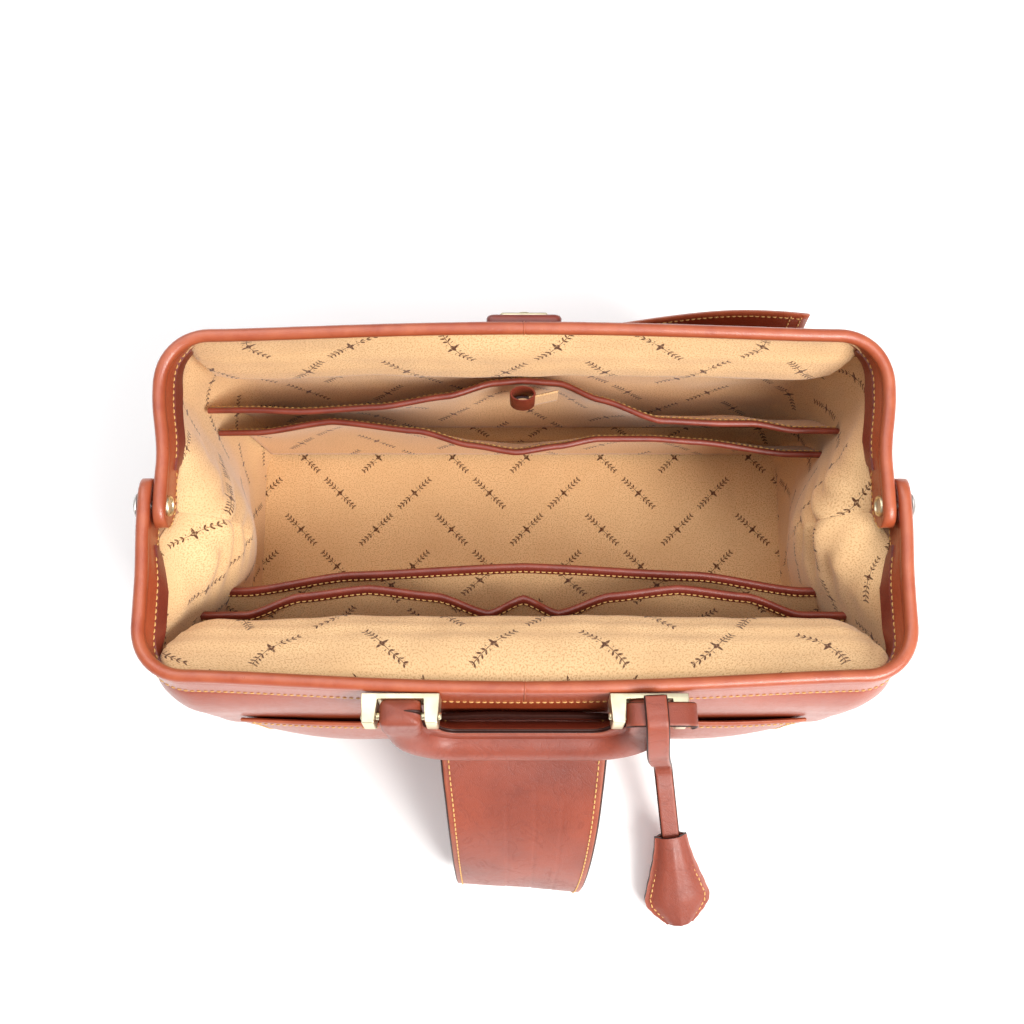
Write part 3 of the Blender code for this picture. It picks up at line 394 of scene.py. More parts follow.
def plain(name, colour, roughness, scale=500.0, relief=0.3, shade=0.35, specular=0.3):
    """Edge paint, thread or board: one colour with a fine uneven tone."""
    made, tree, shader = blank_material(name)
    uneven = node(tree, "TexNoise", {"Vector": at_rest(tree), "Scale": scale, "Detail": 3.0}).outputs["Fac"]
    darker = tuple(c * (1 - shade) for c in colour)
    tone = stretch(tree, uneven, 0.3, 0.7)
    tree.links.new(blend_colour(tree, tone, (*colour, 1), (*darker, 1)), shader.inputs["Base Color"])
    shader.inputs["Roughness"].default_value = roughness
    shader.inputs["Specular IOR Level"].default_value = specular
    bump(tree, shader, uneven, relief, 0.0003)
    return made


def cloth(name, colour, shade):
    """Lining: napped cloth, printed with sprigs."""
    made, tree, shader = blank_material(name)
    place = node(tree, "UVMap", uv_map="cloth").outputs[0]
    nap = place_group(tree, NAP, {"Place": place, "Colour": (*colour, 1), "Shade": (*shade, 1)})
    sprigs = place_group(tree, SPRIGS, {"Place": place})
    printed = blend_colour(tree, sprigs.outputs["Mask"], nap.outputs["Colour"], PRINT_BROWN)
    tree.links.new(printed, shader.inputs["Base Color"])
    shader.inputs["Roughness"].default_value = 0.92
    shader.inputs["Specular IOR Level"].default_value = 0.15
    shader.inputs["Sheen Weight"].default_value = 0.25
    shader.inputs["Sheen Roughness"].default_value = 0.5
    bump(tree, shader, nap.outputs["Height"], 0.35, 0.0004)
    return made


def metal(name, colour, tarnish, amount, gloss):
    """Cast or turned metal with some patina."""
    made, tree, shader = blank_material(name)
    face = place_group(tree, PATINA, {"Colour": (*colour, 1), "Tarnish": (*tarnish, 1), "Amount": amount})
    worn = place_group(tree, RUBBED, {"Colour": face.outputs["Colour"], "Rubbed": (0.93, 0.86, 0.66, 1),
                                      "Amount": 0.4})
    tree.links.new(worn.outputs["Colour"], shader.inputs["Base Color"])
    tree.links.new(maths(tree, "ADD", face.outputs["Roughness"], gloss), shader.inputs["Roughness"])
    shader.inputs["Metallic"].default_value = 1.0
    bump(tree, shader, face.outputs["Height"], 0.08, 0.0002)
    return made


COGNAC = (0.345, 0.060, 0.020)
COGNAC_DEEP = (0.215, 0.030, 0.010)
COGNAC_RUBBED = (0.50, 0.135, 0.055)
BODY_HIDE = leather("cognac body hide", COGNAC, COGNAC_DEEP, COGNAC_RUBBED, gloss=0.26, coat=0.35,
                    mottle=0.45)
RIM_HIDE = leather("cognac rim hide", (0.36, 0.064, 0.022), COGNAC_DEEP, COGNAC_RUBBED, gloss=0.22,
                   coat=0.4, mottle=0.35)
STRAP_HIDE = leather("cognac strap hide", (0.30, 0.052, 0.021), (0.165, 0.024, 0.010), COGNAC_RUBBED,
                     gloss=0.34, grain=1100.0, mottle=0.8, creases=0.55, relief=0.35)
DARK_HIDE = leather("oxblood trim hide", (0.175, 0.022, 0.012), (0.09, 0.011, 0.007), (0.32, 0.062, 0.032),
                    gloss=0.26, coat=0.3, mottle=0.5, creases=0.1)
FLESH = plain("flesh side", (0.45, 0.24, 0.13), 0.9, 900.0, 0.5)
EDGE_PAINT = plain("dark edge paint", (0.045, 0.014, 0.010), 0.45, 700.0, 0.2)
THREAD = plain("waxed cream thread", (0.82, 0.48, 0.17), 0.6, 2500.0, 0.5)
DARK_THREAD = plain("waxed dark thread", (0.055, 0.018, 0.012), 0.5, 2500.0, 0.5)
LINING = cloth("printed lining", (0.83, 0.56, 0.30), (0.53, 0.29, 0.125))
POCKET_CLOTH = cloth("pocket lining", (0.77, 0.49, 0.25), (0.48, 0.255, 0.105))
BRASS = metal("light antique brass", (0.80, 0.72, 0.50), (0.42, 0.33, 0.18), 0.5, 0.20)
NICKEL = metal("nickelled steel", (0.62, 0.61, 0.60), (0.30, 0.27, 0.24), 0.5, 0.22)
ROPE = plain("cotton rope", (0.62, 0.50, 0.34), 0.95, 1500.0, 0.6)
BOARD = plain("pressed board", (0.40, 0.30, 0.20), 0.95, 900.0, 0.5)


# ---------------------------------------------------------------- making pieces
def keep_rest(mesh, wear=None):
    """Stores each point's place, and its wear, for the materials."""
    places = mesh.attributes.new("rest", "FLOAT_VECTOR", "POINT")
    places.data.foreach_set("vector", [c for vertex in mesh.vertices for c in vertex.co])
    mask = mesh.attributes.new("wear", "FLOAT", "POINT")
    mask.data.foreach_set("value", list(wear) if wear else [0.0] * len(mesh.vertices))


def build(name, points, faces, materials, body, marks=None, uvs=None, wear=None,
          sharp=50, bevel=0.0):
    """A named mesh piece that rides on a body; marks gives each face its material, bevel rounds its edges."""
    mesh = bpy.data.meshes.new(name)
    mesh.from_pydata([tuple(point) for point in points], [], faces)
    for material in materials:
        mesh.materials.append(material)
    if marks:
        mesh.polygons.foreach_set("material_index", marks)
    if uvs:
        layer = mesh.uv_layers.new(name="cloth")
        order = [0] * len(mesh.loops)
        mesh.loops.foreach_get("vertex_index", order)
        layer.data.foreach_set("uv", [c for k in order for c in uvs[k]])
    if not bevel:
        keep_rest(mesh, wear)
    mesh.validate()
    turned = bmesh.new()
    turned.from_mesh(mesh)
    bmesh.ops.recalc_face_normals(turned, faces=turned.faces)
    if bevel:
        bmesh.ops.remove_doubles(turned, verts=turned.verts, dist=1e-6)
        keen = [edge for edge in turned.edges if edge.calc_face_angle(0.0) > math.radians(32)]
        bmesh.ops.bevel(turned, geom=keen, offset=bevel, segments=3, profile=0.6, affect="EDGES",
                        clamp_overlap=True)
    turned.to_mesh(mesh)
    turned.free()
    if bevel:
        keep_rest(mesh, [wear[0] if wear else 0.25] * len(mesh.vertices))
    mesh.shade_smooth()
    mesh.set_sharp_from_angle(angle=math.radians(sharp))
    made = bpy.data.objects.new(name, mesh)
    bpy.context.scene.collection.objects.link(made)
    if body:
        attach(made, body)
    return made


def sheet_piece(name, surface, columns, rows, thickness, materials, body, wear=None,
                shift=(0, 0)):
    """A sheet: surface(u, v) is its outer face; materials are outer, inner and edge.

    Its rim is rounded. UVs are metres along u and v.
    """
    grid = [[Vector(surface(i / columns, j / rows)) for j in range(rows + 1)] for i in range(columns + 1)]
    across = [0.0]
    for i in range(columns):
        across.append(across[-1] + sum((grid[i + 1][j] - grid[i][j]).length for j in range(rows + 1))
                      / (rows + 1))
    up = [0.0]
    for j in range(rows):
        up.append(up[-1] + sum((grid[i][j + 1] - grid[i][j]).length for i in range(columns + 1))
                  / (columns + 1))
    outer = []
    inner = []
    uvs = []
    worn = []
    for i in range(columns + 1):
        for j in range(rows + 1):
            along = grid[min(i + 1, columns)][j] - grid[max(i - 1, 0)][j]
            rise = grid[i][min(j + 1, rows)] - grid[i][max(j - 1, 0)]
            normal = along.cross(rise).normalized()
            outer.append(grid[i][j])
            inner.append(grid[i][j] - normal * thickness)
            uvs.append((across[i] + shift[0], up[j] + shift[1]))
            worn.append(wear(i / columns, j / rows) if wear else 0.0)
    wide = rows + 1
    count = len(outer)
    points = outer + inner
    uvs = uvs + uvs
    worn = worn + worn
    faces = []
    marks = []
    for i in range(columns):
        for j in range(rows):
            a, b, c, d = i * wide + j, (i + 1) * wide + j, (i + 1) * wide + j + 1, i * wide + j + 1
            faces.append((a, b, c, d))
            marks.append(0)
            faces.append((count + d, count + c, count + b, count + a))
            marks.append(1)
    rim = [(i, 0) for i in range(columns + 1)] + [(columns, j) for j in range(1, rows + 1)]
    rim += [(i, rows) for i in range(columns - 1, -1, -1)] + [(0, j) for j in range(rows - 1, 0, -1)]
    middle = []
    for i, j in rim:
        k = i * wide + j
        toward = Vector((0, 0, 0))
        if i in (0, columns):
            toward += (grid[i][j] - grid[abs(i - 1)][j]).normalized()
        if j in (0, rows):
            toward += (grid[i][j] - grid[i][abs(j - 1)]).normalized()
        middle.append(len(points))
        points.append((points[k] + points[count + k]) / 2 + toward.normalized() * thickness * 0.35)
        uvs.append(uvs[k])
        worn.append(worn[k])
    for n in range(len(rim)):
        m = (n + 1) % len(rim)
        a = rim[n][0] * wide + rim[n][1]
        b = rim[m][0] * wide + rim[m][1]
        faces.append((a, middle[n], middle[m], b))
        faces.append((middle[n], count + a, count + b, middle[m]))
        marks += [2, 2]
    return build(name, points, faces, materials, body, marks, uvs, worn, sharp=60)


def skin(rings, closed=True, cap=True):
    """Points and faces of a row of equal rings."""
    count = len(rings[0])
    points = [point for ring in rings for point in ring]
    faces = []
    for k in range(len(rings) - 1):
        for i in range(count if closed else count - 1):
            j = (i + 1) % count
            faces.append((k * count + i, k * count + j, (k + 1) * count + j, (k + 1) * count + i))
    if cap:
        faces.append(tuple(range(count))[::-1])
        faces.append(tuple((len(rings) - 1) * count + i for i in range(count)))
    return points, faces


def thread_line(name, line, normals, body, material=None, pitch=STITCH_PITCH, slant=0.0, width=0.00042):
    """Sewn stitches along a polyline; normals are the surface's outward directions at its points."""
    points = []
    faces = []
    length = pitch * 0.74
    for place, along, share in evenly(line, pitch):
        k = min(int(share), len(normals) - 1)
        out = normals[k].normalized()
        side = out.cross(along).normalized()
        along = (along + side * (slant + rng.uniform(-0.07, 0.07))).normalized()
        side = out.cross(along).normalized()
        reach = length * rng.uniform(0.94, 1.05) / 2
        base = len(points)
        for t, size, lift in ((-1.0, 0.45, -0.5), (-0.72, 0.95, 0.35), (0.0, 1.05, 0.75),
                              (0.72, 0.95, 0.35), (1.0, 0.45, -0.5)):
            for n in range(6):
                angle = math.pi * n / 3
                points.append(place + along * t * reach
                              + side * math.cos(angle) * width * size
                              + out * (math.sin(angle) * width * 0.8 * size + lift * width))
        for r in range(4):
            for n in range(6):
                m = (n + 1) % 6
                faces.append((base + r * 6 + n, base + r * 6 + m, base + r * 6 + 6 + m,
                              base + r * 6 + 6 + n))
        faces.append(tuple(base + n for n in range(6))[::-1])
        faces.append(tuple(base + 24 + n for n in range(6)))
    return build(name, points, faces, [material or THREAD], body)


# ---------------------------------------------------------------- the mouth frame
def frame_place(half, x, reach, height):
    """A point of a frame half, in its own tilted plane."""
    tilt = math.radians(half["tilt"])
    out = reach * math.cos(tilt) - height * math.sin(tilt)
    up = reach * math.sin(tilt) + height * math.cos(tilt)
    return Vector((x, half["sign"] * out, HINGE_Z + up))


def rise_at(reach):
    """The arms' ends rise round the pivot."""
    return PIVOT_RISE * max(1 - reach / 0.064, 0.0) ** 1.15


def arm_x(half, reach):
    """Half the mouth's width along an arm."""
    return mix(half["arm"], half["bar"], ease((reach - 0.022) / 0.040))


def lean_at(half, reach):
    """How far the strip leans: inwards along the arms, outwards along the bar."""
    straight = half["reach"] - CORNER
    return math.radians(mix(half["splay"] * ease((reach - 0.012) / 0.030), half["flare"],
                            ease((reach - straight) / CORNER)))


def bar_reach(half, x):
    """The bar bows out a little between its corners."""
    share = min(abs(x) / (half["bar"] - CORNER), 1.0)
    return half["reach"] + half["bow"] * (1 - share * share) ** 1.5


def frame_stations(half, start=None):
    """Stations round a frame half, left arm end to right arm end: (x, reach)."""
    straight = half["reach"] - CORNER
    start = -half["tail"] if start is None else start
    tail = [start * math.cos(math.pi / 2 * k / 6) for k in range(6)] if start < 0 else []
    arm = tail + [max(start, 0.0) + (straight - max(start, 0.0)) * k / 26 for k in range(27)]
    left = [(-arm_x(half, reach), reach) for reach in arm]
    bar = half["bar"] - CORNER
    for k in range(1, 15):
        angle = math.pi / 2 * k / 14
        left.append((-bar - CORNER * math.cos(angle), straight + CORNER * math.sin(angle)))
    xs = [-bar * (1 - k / 40) for k in range(1, 40)] + [-0.0030, -0.0012, -0.0005]
    left += [(x, bar_reach(half, x)) for x in xs]
    return left + [(0.0, bar_reach(half, 0.0))] + [(-x, reach) for x, reach in left[::-1]]


def station_facts(half, line):
    """Each station's outward direction, rise, flare and end rounding."""
    facts = []
    for k, (x, reach) in enumerate(line):
        before = Vector(line[max(k - 1, 0)])
        after = Vector(line[min(k + 1, len(line) - 1)])
        tangent = (after - before).normalized()
        rounding = 1.0
        if reach < 0:
            rounding = math.sqrt(max(1 - (reach / (half["tail"] + 0.0001)) ** 2, 0.02))
        facts.append((x, reach, (-tangent.y, tangent.x), rise_at(reach), lean_at(half, reach), rounding))
    return facts


def on_frame(half, fact, n, h, push=0.0):
    """A point n outwards and h below the rim of a station, moved bodily outwards by push."""
    x, reach, outward, rise, flare, rounding = fact
    middle = -STRIP / 2
    h = middle + (h - middle) * rounding
    out = n * math.cos(flare) - h * math.sin(flare) + push
    up = h * math.cos(flare) + n * math.sin(flare)
    return frame_place(half, x + outward[0] * out, reach + outward[1] * out, rise + up)


def cover_outline():
    """The folded leather: two faces, a rolled rim with a groove under it, and painted lower edges."""
    outline = [(0.0006, -0.0243), (0.0021, -0.0243), (0.0027, -0.0238), (0.0027, -0.0225),
               (0.0027, -0.0180),
               (0.0026, -0.0130), (0.0026, -0.0095), (0.0024, -0.0080), (0.0022, -0.0073)]
    for k in range(15):
        angle = math.radians(-38 + 256 * k / 14)
        outline.append((BEAD * math.cos(angle), -BEAD - 0.0002 + BEAD * math.sin(angle)))
    outline += [(-n, h) for n, h in outline[8::-1]]
    return outline


def make_cover(name, half, body, node_name):
    """The leather that wraps a frame half, sewn at the middle of its bar."""
    facts = station_facts(half, frame_stations(half))
    outline = cover_outline()
    rings = []
    wear = []
    for fact in facts:
        seam = math.exp(-(fact[0] / 0.0007) ** 2) if fact[1] > 0.05 else 0.0
        ring = []
        for n, h in outline:
            pinch = 1 - 0.16 * seam
            lump = 0.00012 * ripple(fact[0] * 60, fact[1] * 60, h * 60, 1.0, 3.0)
            ring.append(on_frame(half, fact, n * pinch + math.copysign(lump, n), h * (1 - 0.012 * seam)))
            top = ease((h + 0.0052) / 0.0052)
            wear.append(0.75 * top + (0.5 if h < -0.0236 else 0.0))
        rings.append(ring)
    points, faces = skin(rings)
    count = len(outline)
    marks = [1 if k % count in (count - 1, 0, 1, count - 2, count - 3) and k < count * (len(rings) - 1)
             else 0
             for k in range(len(faces))]
    made = build(name, points, faces, [RIM_HIDE, EDGE_PAINT], body, marks, wear=wear)
    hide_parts(node_name)
    return facts


def frame_threads(prefix, half, facts, body):
    """Stitch lines on both faces of a frame half; they turn down round the arms' ends."""
    def height(fact):
        return mix(-0.0212, -0.0146, ease((fact[1] - 0.012) / 0.016))
    for side in (1, -1):
        line = []
        normals = []
        for fact in facts:
            h = THREAD_ROW if side > 0 else height(fact)
            here = on_frame(half, fact, side * HALF_STRIP, h)
            line.append(here)
            normals.append(here - on_frame(half, fact, 0.0, h))
        if side > 0:
            thread_line(prefix + "_outer_thread", line, normals, body)
            continue
        left = [k for k, fact in enumerate(facts) if fact[0] < 0 and fact[1] < half["reach"] - 0.006]
        right = [k for k, fact in enumerate(facts) if fact[0] > 0 and fact[1] < half["reach"] - 0.006]
        for label, picked in (("left", left), ("right", right)):
            thread_line(f"{prefix}_inner_thread_{label}", [line[k] for k in picked],
                        [normals[k] for k in picked], body)


def make_facing(name, half, body, side, node_name):
    """The dark strip under the cover's lower edge on an arm's inner face, notched short of the pivot."""
    stop = half["reach"] - 0.004
    line = [station for station in frame_stations(half, 0.0) if station[0] * side > 0
            and station[1] <= stop]
    if side > 0:
        line = line[::-1]
    facts = [fact for fact in station_facts(half, line) if fact[1] >= 0.019]
    rings = []
    for x, reach, outward, rise, flare, rounding in facts:
        fact = (x, reach, (side * abs(outward[0]) if side > 0 else -abs(outward[0]), abs(outward[1])),
                rise, flare, 1.0)
        notch = 1 - ease((reach - 0.019) / 0.010)
        low = mix(-0.0242, -0.0175, notch ** 2)
        n = -HALF_STRIP
        rings.append([on_frame(half, fact, n + 0.0004, -0.0148), on_frame(half, fact, n - 0.0011, -0.0150),
                      on_frame(half, fact, n - 0.0014, (low - 0.0150) / 2),
                      on_frame(half, fact, n - 0.0012, low + 0.0004),
                      on_frame(half, fact, n - 0.0006, low),
                      on_frame(half, fact, n + 0.0004, low + 0.0002)])
    points, faces = skin(rings)
    made = build(name, points, faces, [DARK_HIDE], body, wear=[0.3] * len(points))
    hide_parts(node_name)


def make_steel(name, half, body, node_name):
    """The spring-steel strip that the cover is folded over."""
    facts = station_facts(half, frame_stations(half, 0.004))
    rings = [[on_frame(half, fact, n, h) for n,
              h in ((0.0006, -0.0215), (0.0006, -0.0065), (-0.0006, -0.0065), (-0.0006, -0.0215))]
             for fact in facts]
    points, faces = skin(rings)
    made = build(name, points, faces, [NICKEL], body)
    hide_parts(node_name)


def make_frame():
    """Both halves of the mouth frame, with their steel, facings and stitches."""
    make_steel("near_frame_steel", NEAR, "front_frame", "front_frame_strip")
    make_steel("far_frame_steel", FAR, "back_frame", "back_frame_strip")
    near_facts = make_cover("near_frame_leather", NEAR, "front_frame", "front_frame_cover")
    far_facts = make_cover("far_frame_leather", FAR, "back_frame", "back_frame_cover")
    frame_threads("near_frame", NEAR, near_facts, "front_frame")
    frame_threads("far_frame", FAR, far_facts, "back_frame")
    for label, side in (("left", -1), ("right", 1)):
        make_facing("near_facing_" + label, NEAR, "front_frame", side, "front_facing_" + label)
        make_facing("far_facing_" + label, FAR, "back_frame", side, "back_facing_" + label)


# ---------------------------------------------------------------- the soft walls
GUSSET_SHARE = 0.20          # of the way round a half, from the pivot to the corner's start
CORNER_SHARE = 0.30          # and to the corner's end


def edge_fact(half, a):
    """The frame station over a place round the half: a runs from 0, left pivot, to 1, right pivot."""
    side = -1 if a < 0.5 else 1
    b = a if a < 0.5 else 1 - a
    straight = half["reach"] - CORNER
    bar = half["bar"] - CORNER
    if b <= GUSSET_SHARE:
        reach = straight * b / GUSSET_SHARE
        x = side * mix(0.1940, arm_x(half, reach), ease(reach / 0.016))
        return (x, reach, (side, 0.0), rise_at(reach), lean_at(half, reach), 1.0)
    if b <= CORNER_SHARE:
        angle = math.pi / 2 * (b - GUSSET_SHARE) / (CORNER_SHARE - GUSSET_SHARE)
        reach = straight + CORNER * math.sin(angle)
        return (side * (bar + CORNER * math.cos(angle)), reach, (side * math.cos(angle), math.sin(angle)),
                0.0, lean_at(half, reach), 1.0)
    x = side * bar * (1 - (b - CORNER_SHARE) / (0.5 - CORNER_SHARE))
    reach = bar_reach(half, x)
    return (x, reach, (0.0, 1.0), 0.0, lean_at(half, reach), 1.0)


def wall_place(half, a, z, inset_side, inset_face, fold):
    """A point of the wall's section at height z; the gusset folds in by fold."""
    side = -1 if a < 0.5 else 1
    b = a if a < 0.5 else 1 - a
    wide = table(SIDE_PROFILE, z) - inset_side
    deep = table(NEAR_PROFILE if half is NEAR else FAR_PROFILE, z) - inset_face
    radius = max(CORNER - max(inset_side, inset_face), 0.006)
    if b <= GUSSET_SHARE:
        y = (deep - radius) * b / GUSSET_SHARE
        across = math.cos(min(y / 0.076, 1.0) * math.pi / 2) ** 1.8
        return Vector((side * (wide - fold * across), half["sign"] * y, z))
    if b <= CORNER_SHARE:
        angle = math.pi / 2 * (b - GUSSET_SHARE) / (CORNER_SHARE - GUSSET_SHARE)
        return Vector((side * (wide - radius + radius * math.cos(angle)),
                       half["sign"] * (deep - radius + radius * math.sin(angle)), z))
    x = (wide - radius) * (1 - (b - CORNER_SHARE) / (0.5 - CORNER_SHARE))
    return Vector((side * x, half["sign"] * deep, z))


def join_at_pivot(point, b):
    """Brings the two halves' top edges together under the pivots."""
    share = ease(b / 0.035)
    return Vector((point.x, point.y * share, mix(HINGE_Z - 0.0140, point.z, share)))


def gusset_depth(z):
    """How far the side folds in at a height."""
    return GUSSET_FOLD * ease((z - 0.012) / 0.115)


def shell_surface(half):
    """The outer leather of one half of the body, from the base up into the frame."""
    def surface(a, s):
        top = join_at_pivot(on_frame(half, edge_fact(half, a), 0.0010, -0.0232), min(a, 1 - a))
        z = mix(WALL_FOOT, top.z, s)
        wall = wall_place(half, a, z, 0.0, 0.0, gusset_depth(z))
        b = min(a, 1 - a)
        sag = 0.0016 * math.sin(math.pi * min(s * 1.25, 1.0)) * ease((b - 0.02) / 0.1)
        wrinkle = 0.0011 * ripple(wall.x, wall.y * 1.5, wall.z * 2.2, 22.0,
                                  5.0) * math.sin(math.pi * min(s, 1.0)) ** 0.5
        out = Vector((wall.x / 0.19, wall.y / 0.10, 0)).normalized()
        if b < GUSSET_SHARE:
            out = Vector((math.copysign(1, wall.x), 0, 0))
            pleat = 0.0016 * math.sin(wall.z * 260
                                      + wall.y * 40) * math.exp(-((wall.z - 0.140) / 0.028) ** 2)
            wrinkle += pleat * (1 - b / GUSSET_SHARE)
        wall = wall + out * (sag + wrinkle)
        tuck = ease((s - 0.90) / 0.10) if b > GUSSET_SHARE else ease((s - 0.82) / 0.18)
        return wall.lerp(top, tuck)
    return surface


def make_shell():
    """The body's leather, near and far: each half is one skin."""
    for name, half, body, nodes in (
            ("near_body_leather", NEAR, "front_frame", ("front_panel",)),
            ("far_body_leather", FAR, "back_frame", ("back_panel", "left_gusset", "right_gusset"))):
        place = shell_surface(half)
        turn = place if half is NEAR else (lambda a, s, f=place: f(1 - a, s))
        made = sheet_piece(name, turn, 180, 44, WALL_LEATHER, [BODY_HIDE, FLESH, BODY_HIDE], None,
                           wear=lambda a, s: 0.55 * (1 - ease(s / 0.05)))
        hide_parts(*nodes)
        bend_with_frame(made)


def bend_with_frame(made):
    """Bakes the piece's placement into its mesh."""
    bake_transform(made)


NEAR_SKIRT = ((0.0, 0.0042), (0.50, 0.0045), (0.60, 0.0060), (0.66, 0.0100), (0.70, 0.0200),
              (0.735, 0.0350),
              (0.765, 0.0460), (0.79, 0.0500), (0.82, 0.0490), (0.86, 0.0425), (0.90, 0.0340),
              (0.95, 0.0240), (1.0, 0.0150))
FAR_SKIRT = ((0.0, 0.0042), (0.50, 0.0045), (0.62, 0.0060), (0.68, 0.0090), (0.73, 0.0150), (0.77, 0.0205),
             (0.80, 0.0222), (0.84, 0.0215), (0.90, 0.0190), (0.95, 0.0165), (1.0, 0.0145))


def lining_surface(half):
    """The cloth of one half: from the rim it falls in over the slack leather, then out to the wall."""
    skirt = NEAR_SKIRT if half is NEAR else FAR_SKIRT

    def surface(a, s):
        b = min(a, 1 - a)
        fact = edge_fact(half, a)
        face_share = ease((b - GUSSET_SHARE * 0.9) / 0.10)
        hem = mix(-0.0212, -0.0062, ease((b - 0.235) / 0.055))
        top = join_at_pivot(on_frame(half, fact, -0.0031, hem), b)
        z = mix(FLOOR_Z - 0.0012, top.z, s)
        hang = 0.03 * math.exp(-((b - 0.33) / 0.05) ** 2) * (0 if half is NEAR else 1)
        swell = table(skirt, s + hang) * (1 + 0.06 * ripple(a * 3, 0, 0, 2.3, 4.0))
        inset_face = mix(0.0042, swell, ease((b - 0.22) / 0.10))
        inset_side = mix(0.0042, 0.0080, 1 - ease(b / GUSSET_SHARE)) * ease(s / 0.3)
        inset_side = max(inset_side, 0.0040) + 0.012 * face_share * math.exp(-((s - 0.78) / 0.12) ** 2)
        fold = gusset_depth(z) + 0.0015
        wall = wall_place(half, a, z, inset_side, inset_face, fold)
        near_pivot = (1 - ease(b / (GUSSET_SHARE * 0.8)))
        crumple = 0.0022 * math.sin(330 * (wall.z + abs(wall.y) * 0.9) + 1.2 * ripple(wall.x, wall.y,
                                                                                      wall.z, 40, 1.0))
        crumple *= near_pivot * math.exp(-((s - 0.82) / 0.16) ** 2)
        soft = 0.0022 * ripple(wall.x, wall.y, wall.z, 17.0, 9.0) + 0.0009 * ripple(wall.x, wall.y,
                                                                                    wall.z, 55.0, 2.0)
        soft *= ease(s / 0.15) * ease((1 - s) / 0.06)
        inward = Vector((-math.copysign(1, wall.x) * (1 - face_share), -half["sign"] * face_share, 0.0))
        if inward.length > 0:
            inward.normalize()
        wall = wall + inward * (crumple + soft) + Vector((0, 0, 0.5 * soft * face_share))
        hold = ease((s - 0.93) / 0.07) if face_share > 0.5 else ease((s - 0.86) / 0.14)
        return wall.lerp(top, hold)
    return surface


def make_lining():
    """The body's cloth, near and far."""
    for name, half, body, nodes in (
            ("near_lining", NEAR, "front_frame", ("front_lining",)),
            ("far_lining", FAR, "back_frame", ("back_lining", "left_lining", "right_lining"))):
        place = lining_surface(half)
        turn = place if half is FAR else (lambda a, s, f=place: f(1 - a, s))
        made = sheet_piece(name, turn, 220, 90, LINING_CLOTH, [LINING, POCKET_CLOTH, LINING], None,
                           shift=(0.012, 0.021))
        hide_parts(*nodes)
        bend_with_frame(made)


# ---------------------------------------------------------------- floor and base
def rounded_outline(half_x, half_y, radius, steps=8):
    """A rectangle with round corners."""
    points = []
    for corner, (sx, sy) in enumerate(((1, 1), (-1, 1), (-1, -1), (1, -1))):
        for k in range(steps + 1):
            angle = math.pi / 2 * (corner + k / steps)
            points.append((sx * (half_x - radius) + radius * math.cos(angle),
                           sy * (half_y - radius) + radius * math.sin(angle)))
    return points


def make_floor():
    """The floor lining: slightly padded, with the cross seams that join it to the sides."""
    half_x = 0.1822
    half_y = 0.0922

    def surface(u, v):
        x = (u * 2 - 1) * half_x
        y = (v * 2 - 1) * half_y
        corner = max(abs(x) - (half_x - 0.021), 0), max(abs(y) - (half_y - 0.021), 0)
        over = math.hypot(*corner)
        if over > 0.021:
            x -= math.copysign(corner[0] * (1 - 0.021 / over), x)
            y -= math.copysign(corner[1] * (1 - 0.021 / over), y)
        seam = min(abs(abs(x) - 0.152), 0.01)
        z = 0.0116 + 0.0005 * ripple(x, y, 0, 14.0, 2.0) - 0.0006 * math.exp(-(seam / 0.0012) ** 2)
        return (x, y, z)
    made = sheet_piece("floor_cloth", surface, 200, 60, LINING_CLOTH, [LINING, POCKET_CLOTH, LINING],
                       "root")
    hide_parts("floor_lining")


def make_base():
    """The leather bottom with its welted edge and five turned studs; the board is dressed with the hidden
    pieces.
    """
    rings = []
    for inset, z in ((0.0016, 0.0042), (0.0004, 0.0046), (0.0, 0.0055), (0.0004, 0.0066), (0.0012, 0.0071)):
        rings.append([Vector((x, y, z)) for x, y in rounded_outline(0.1858 - inset, 0.0958 - inset,
                                                                    0.0283 - inset)])
    points, faces = skin(rings)
    made = build("bottom_leather", points, faces, [BODY_HIDE], "root", wear=[0.6] * len(points))
    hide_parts("base_leather")
    line = [Vector((x, y, 0.0043)) for x, y in rounded_outline(0.180, 0.090, 0.0225)]
    thread_line("bottom_thread", line + line[:1], [Vector((0, 0, -1))] * (len(line) + 1), "root")
    profile = ((0.0, 0.0), (0.0, 0.0046), (0.0003, 0.0058), (0.0010, 0.0068), (0.0020, 0.0075),
               (0.0030, 0.0079),
               (0.0036, 0.0080), (0.0040, 0.0080))
    for name in ("foot_front_left", "foot_front_right", "foot_back_left", "foot_back_right", "foot_centre"):
        low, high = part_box(name)
        middle = (Vector(low) + Vector(high)) / 2
        rings = [[Vector((middle.x + max(r, 1e-4) * math.cos(t), middle.y + max(r, 1e-4) * math.sin(t), z))
                  for t in (2 * math.pi * k / 40 for k in range(40))] for z, r in profile]
        points, faces = skin(rings)
        made = build(name.replace("foot", "stud"), points, faces, [BRASS], "root")
        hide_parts(name)


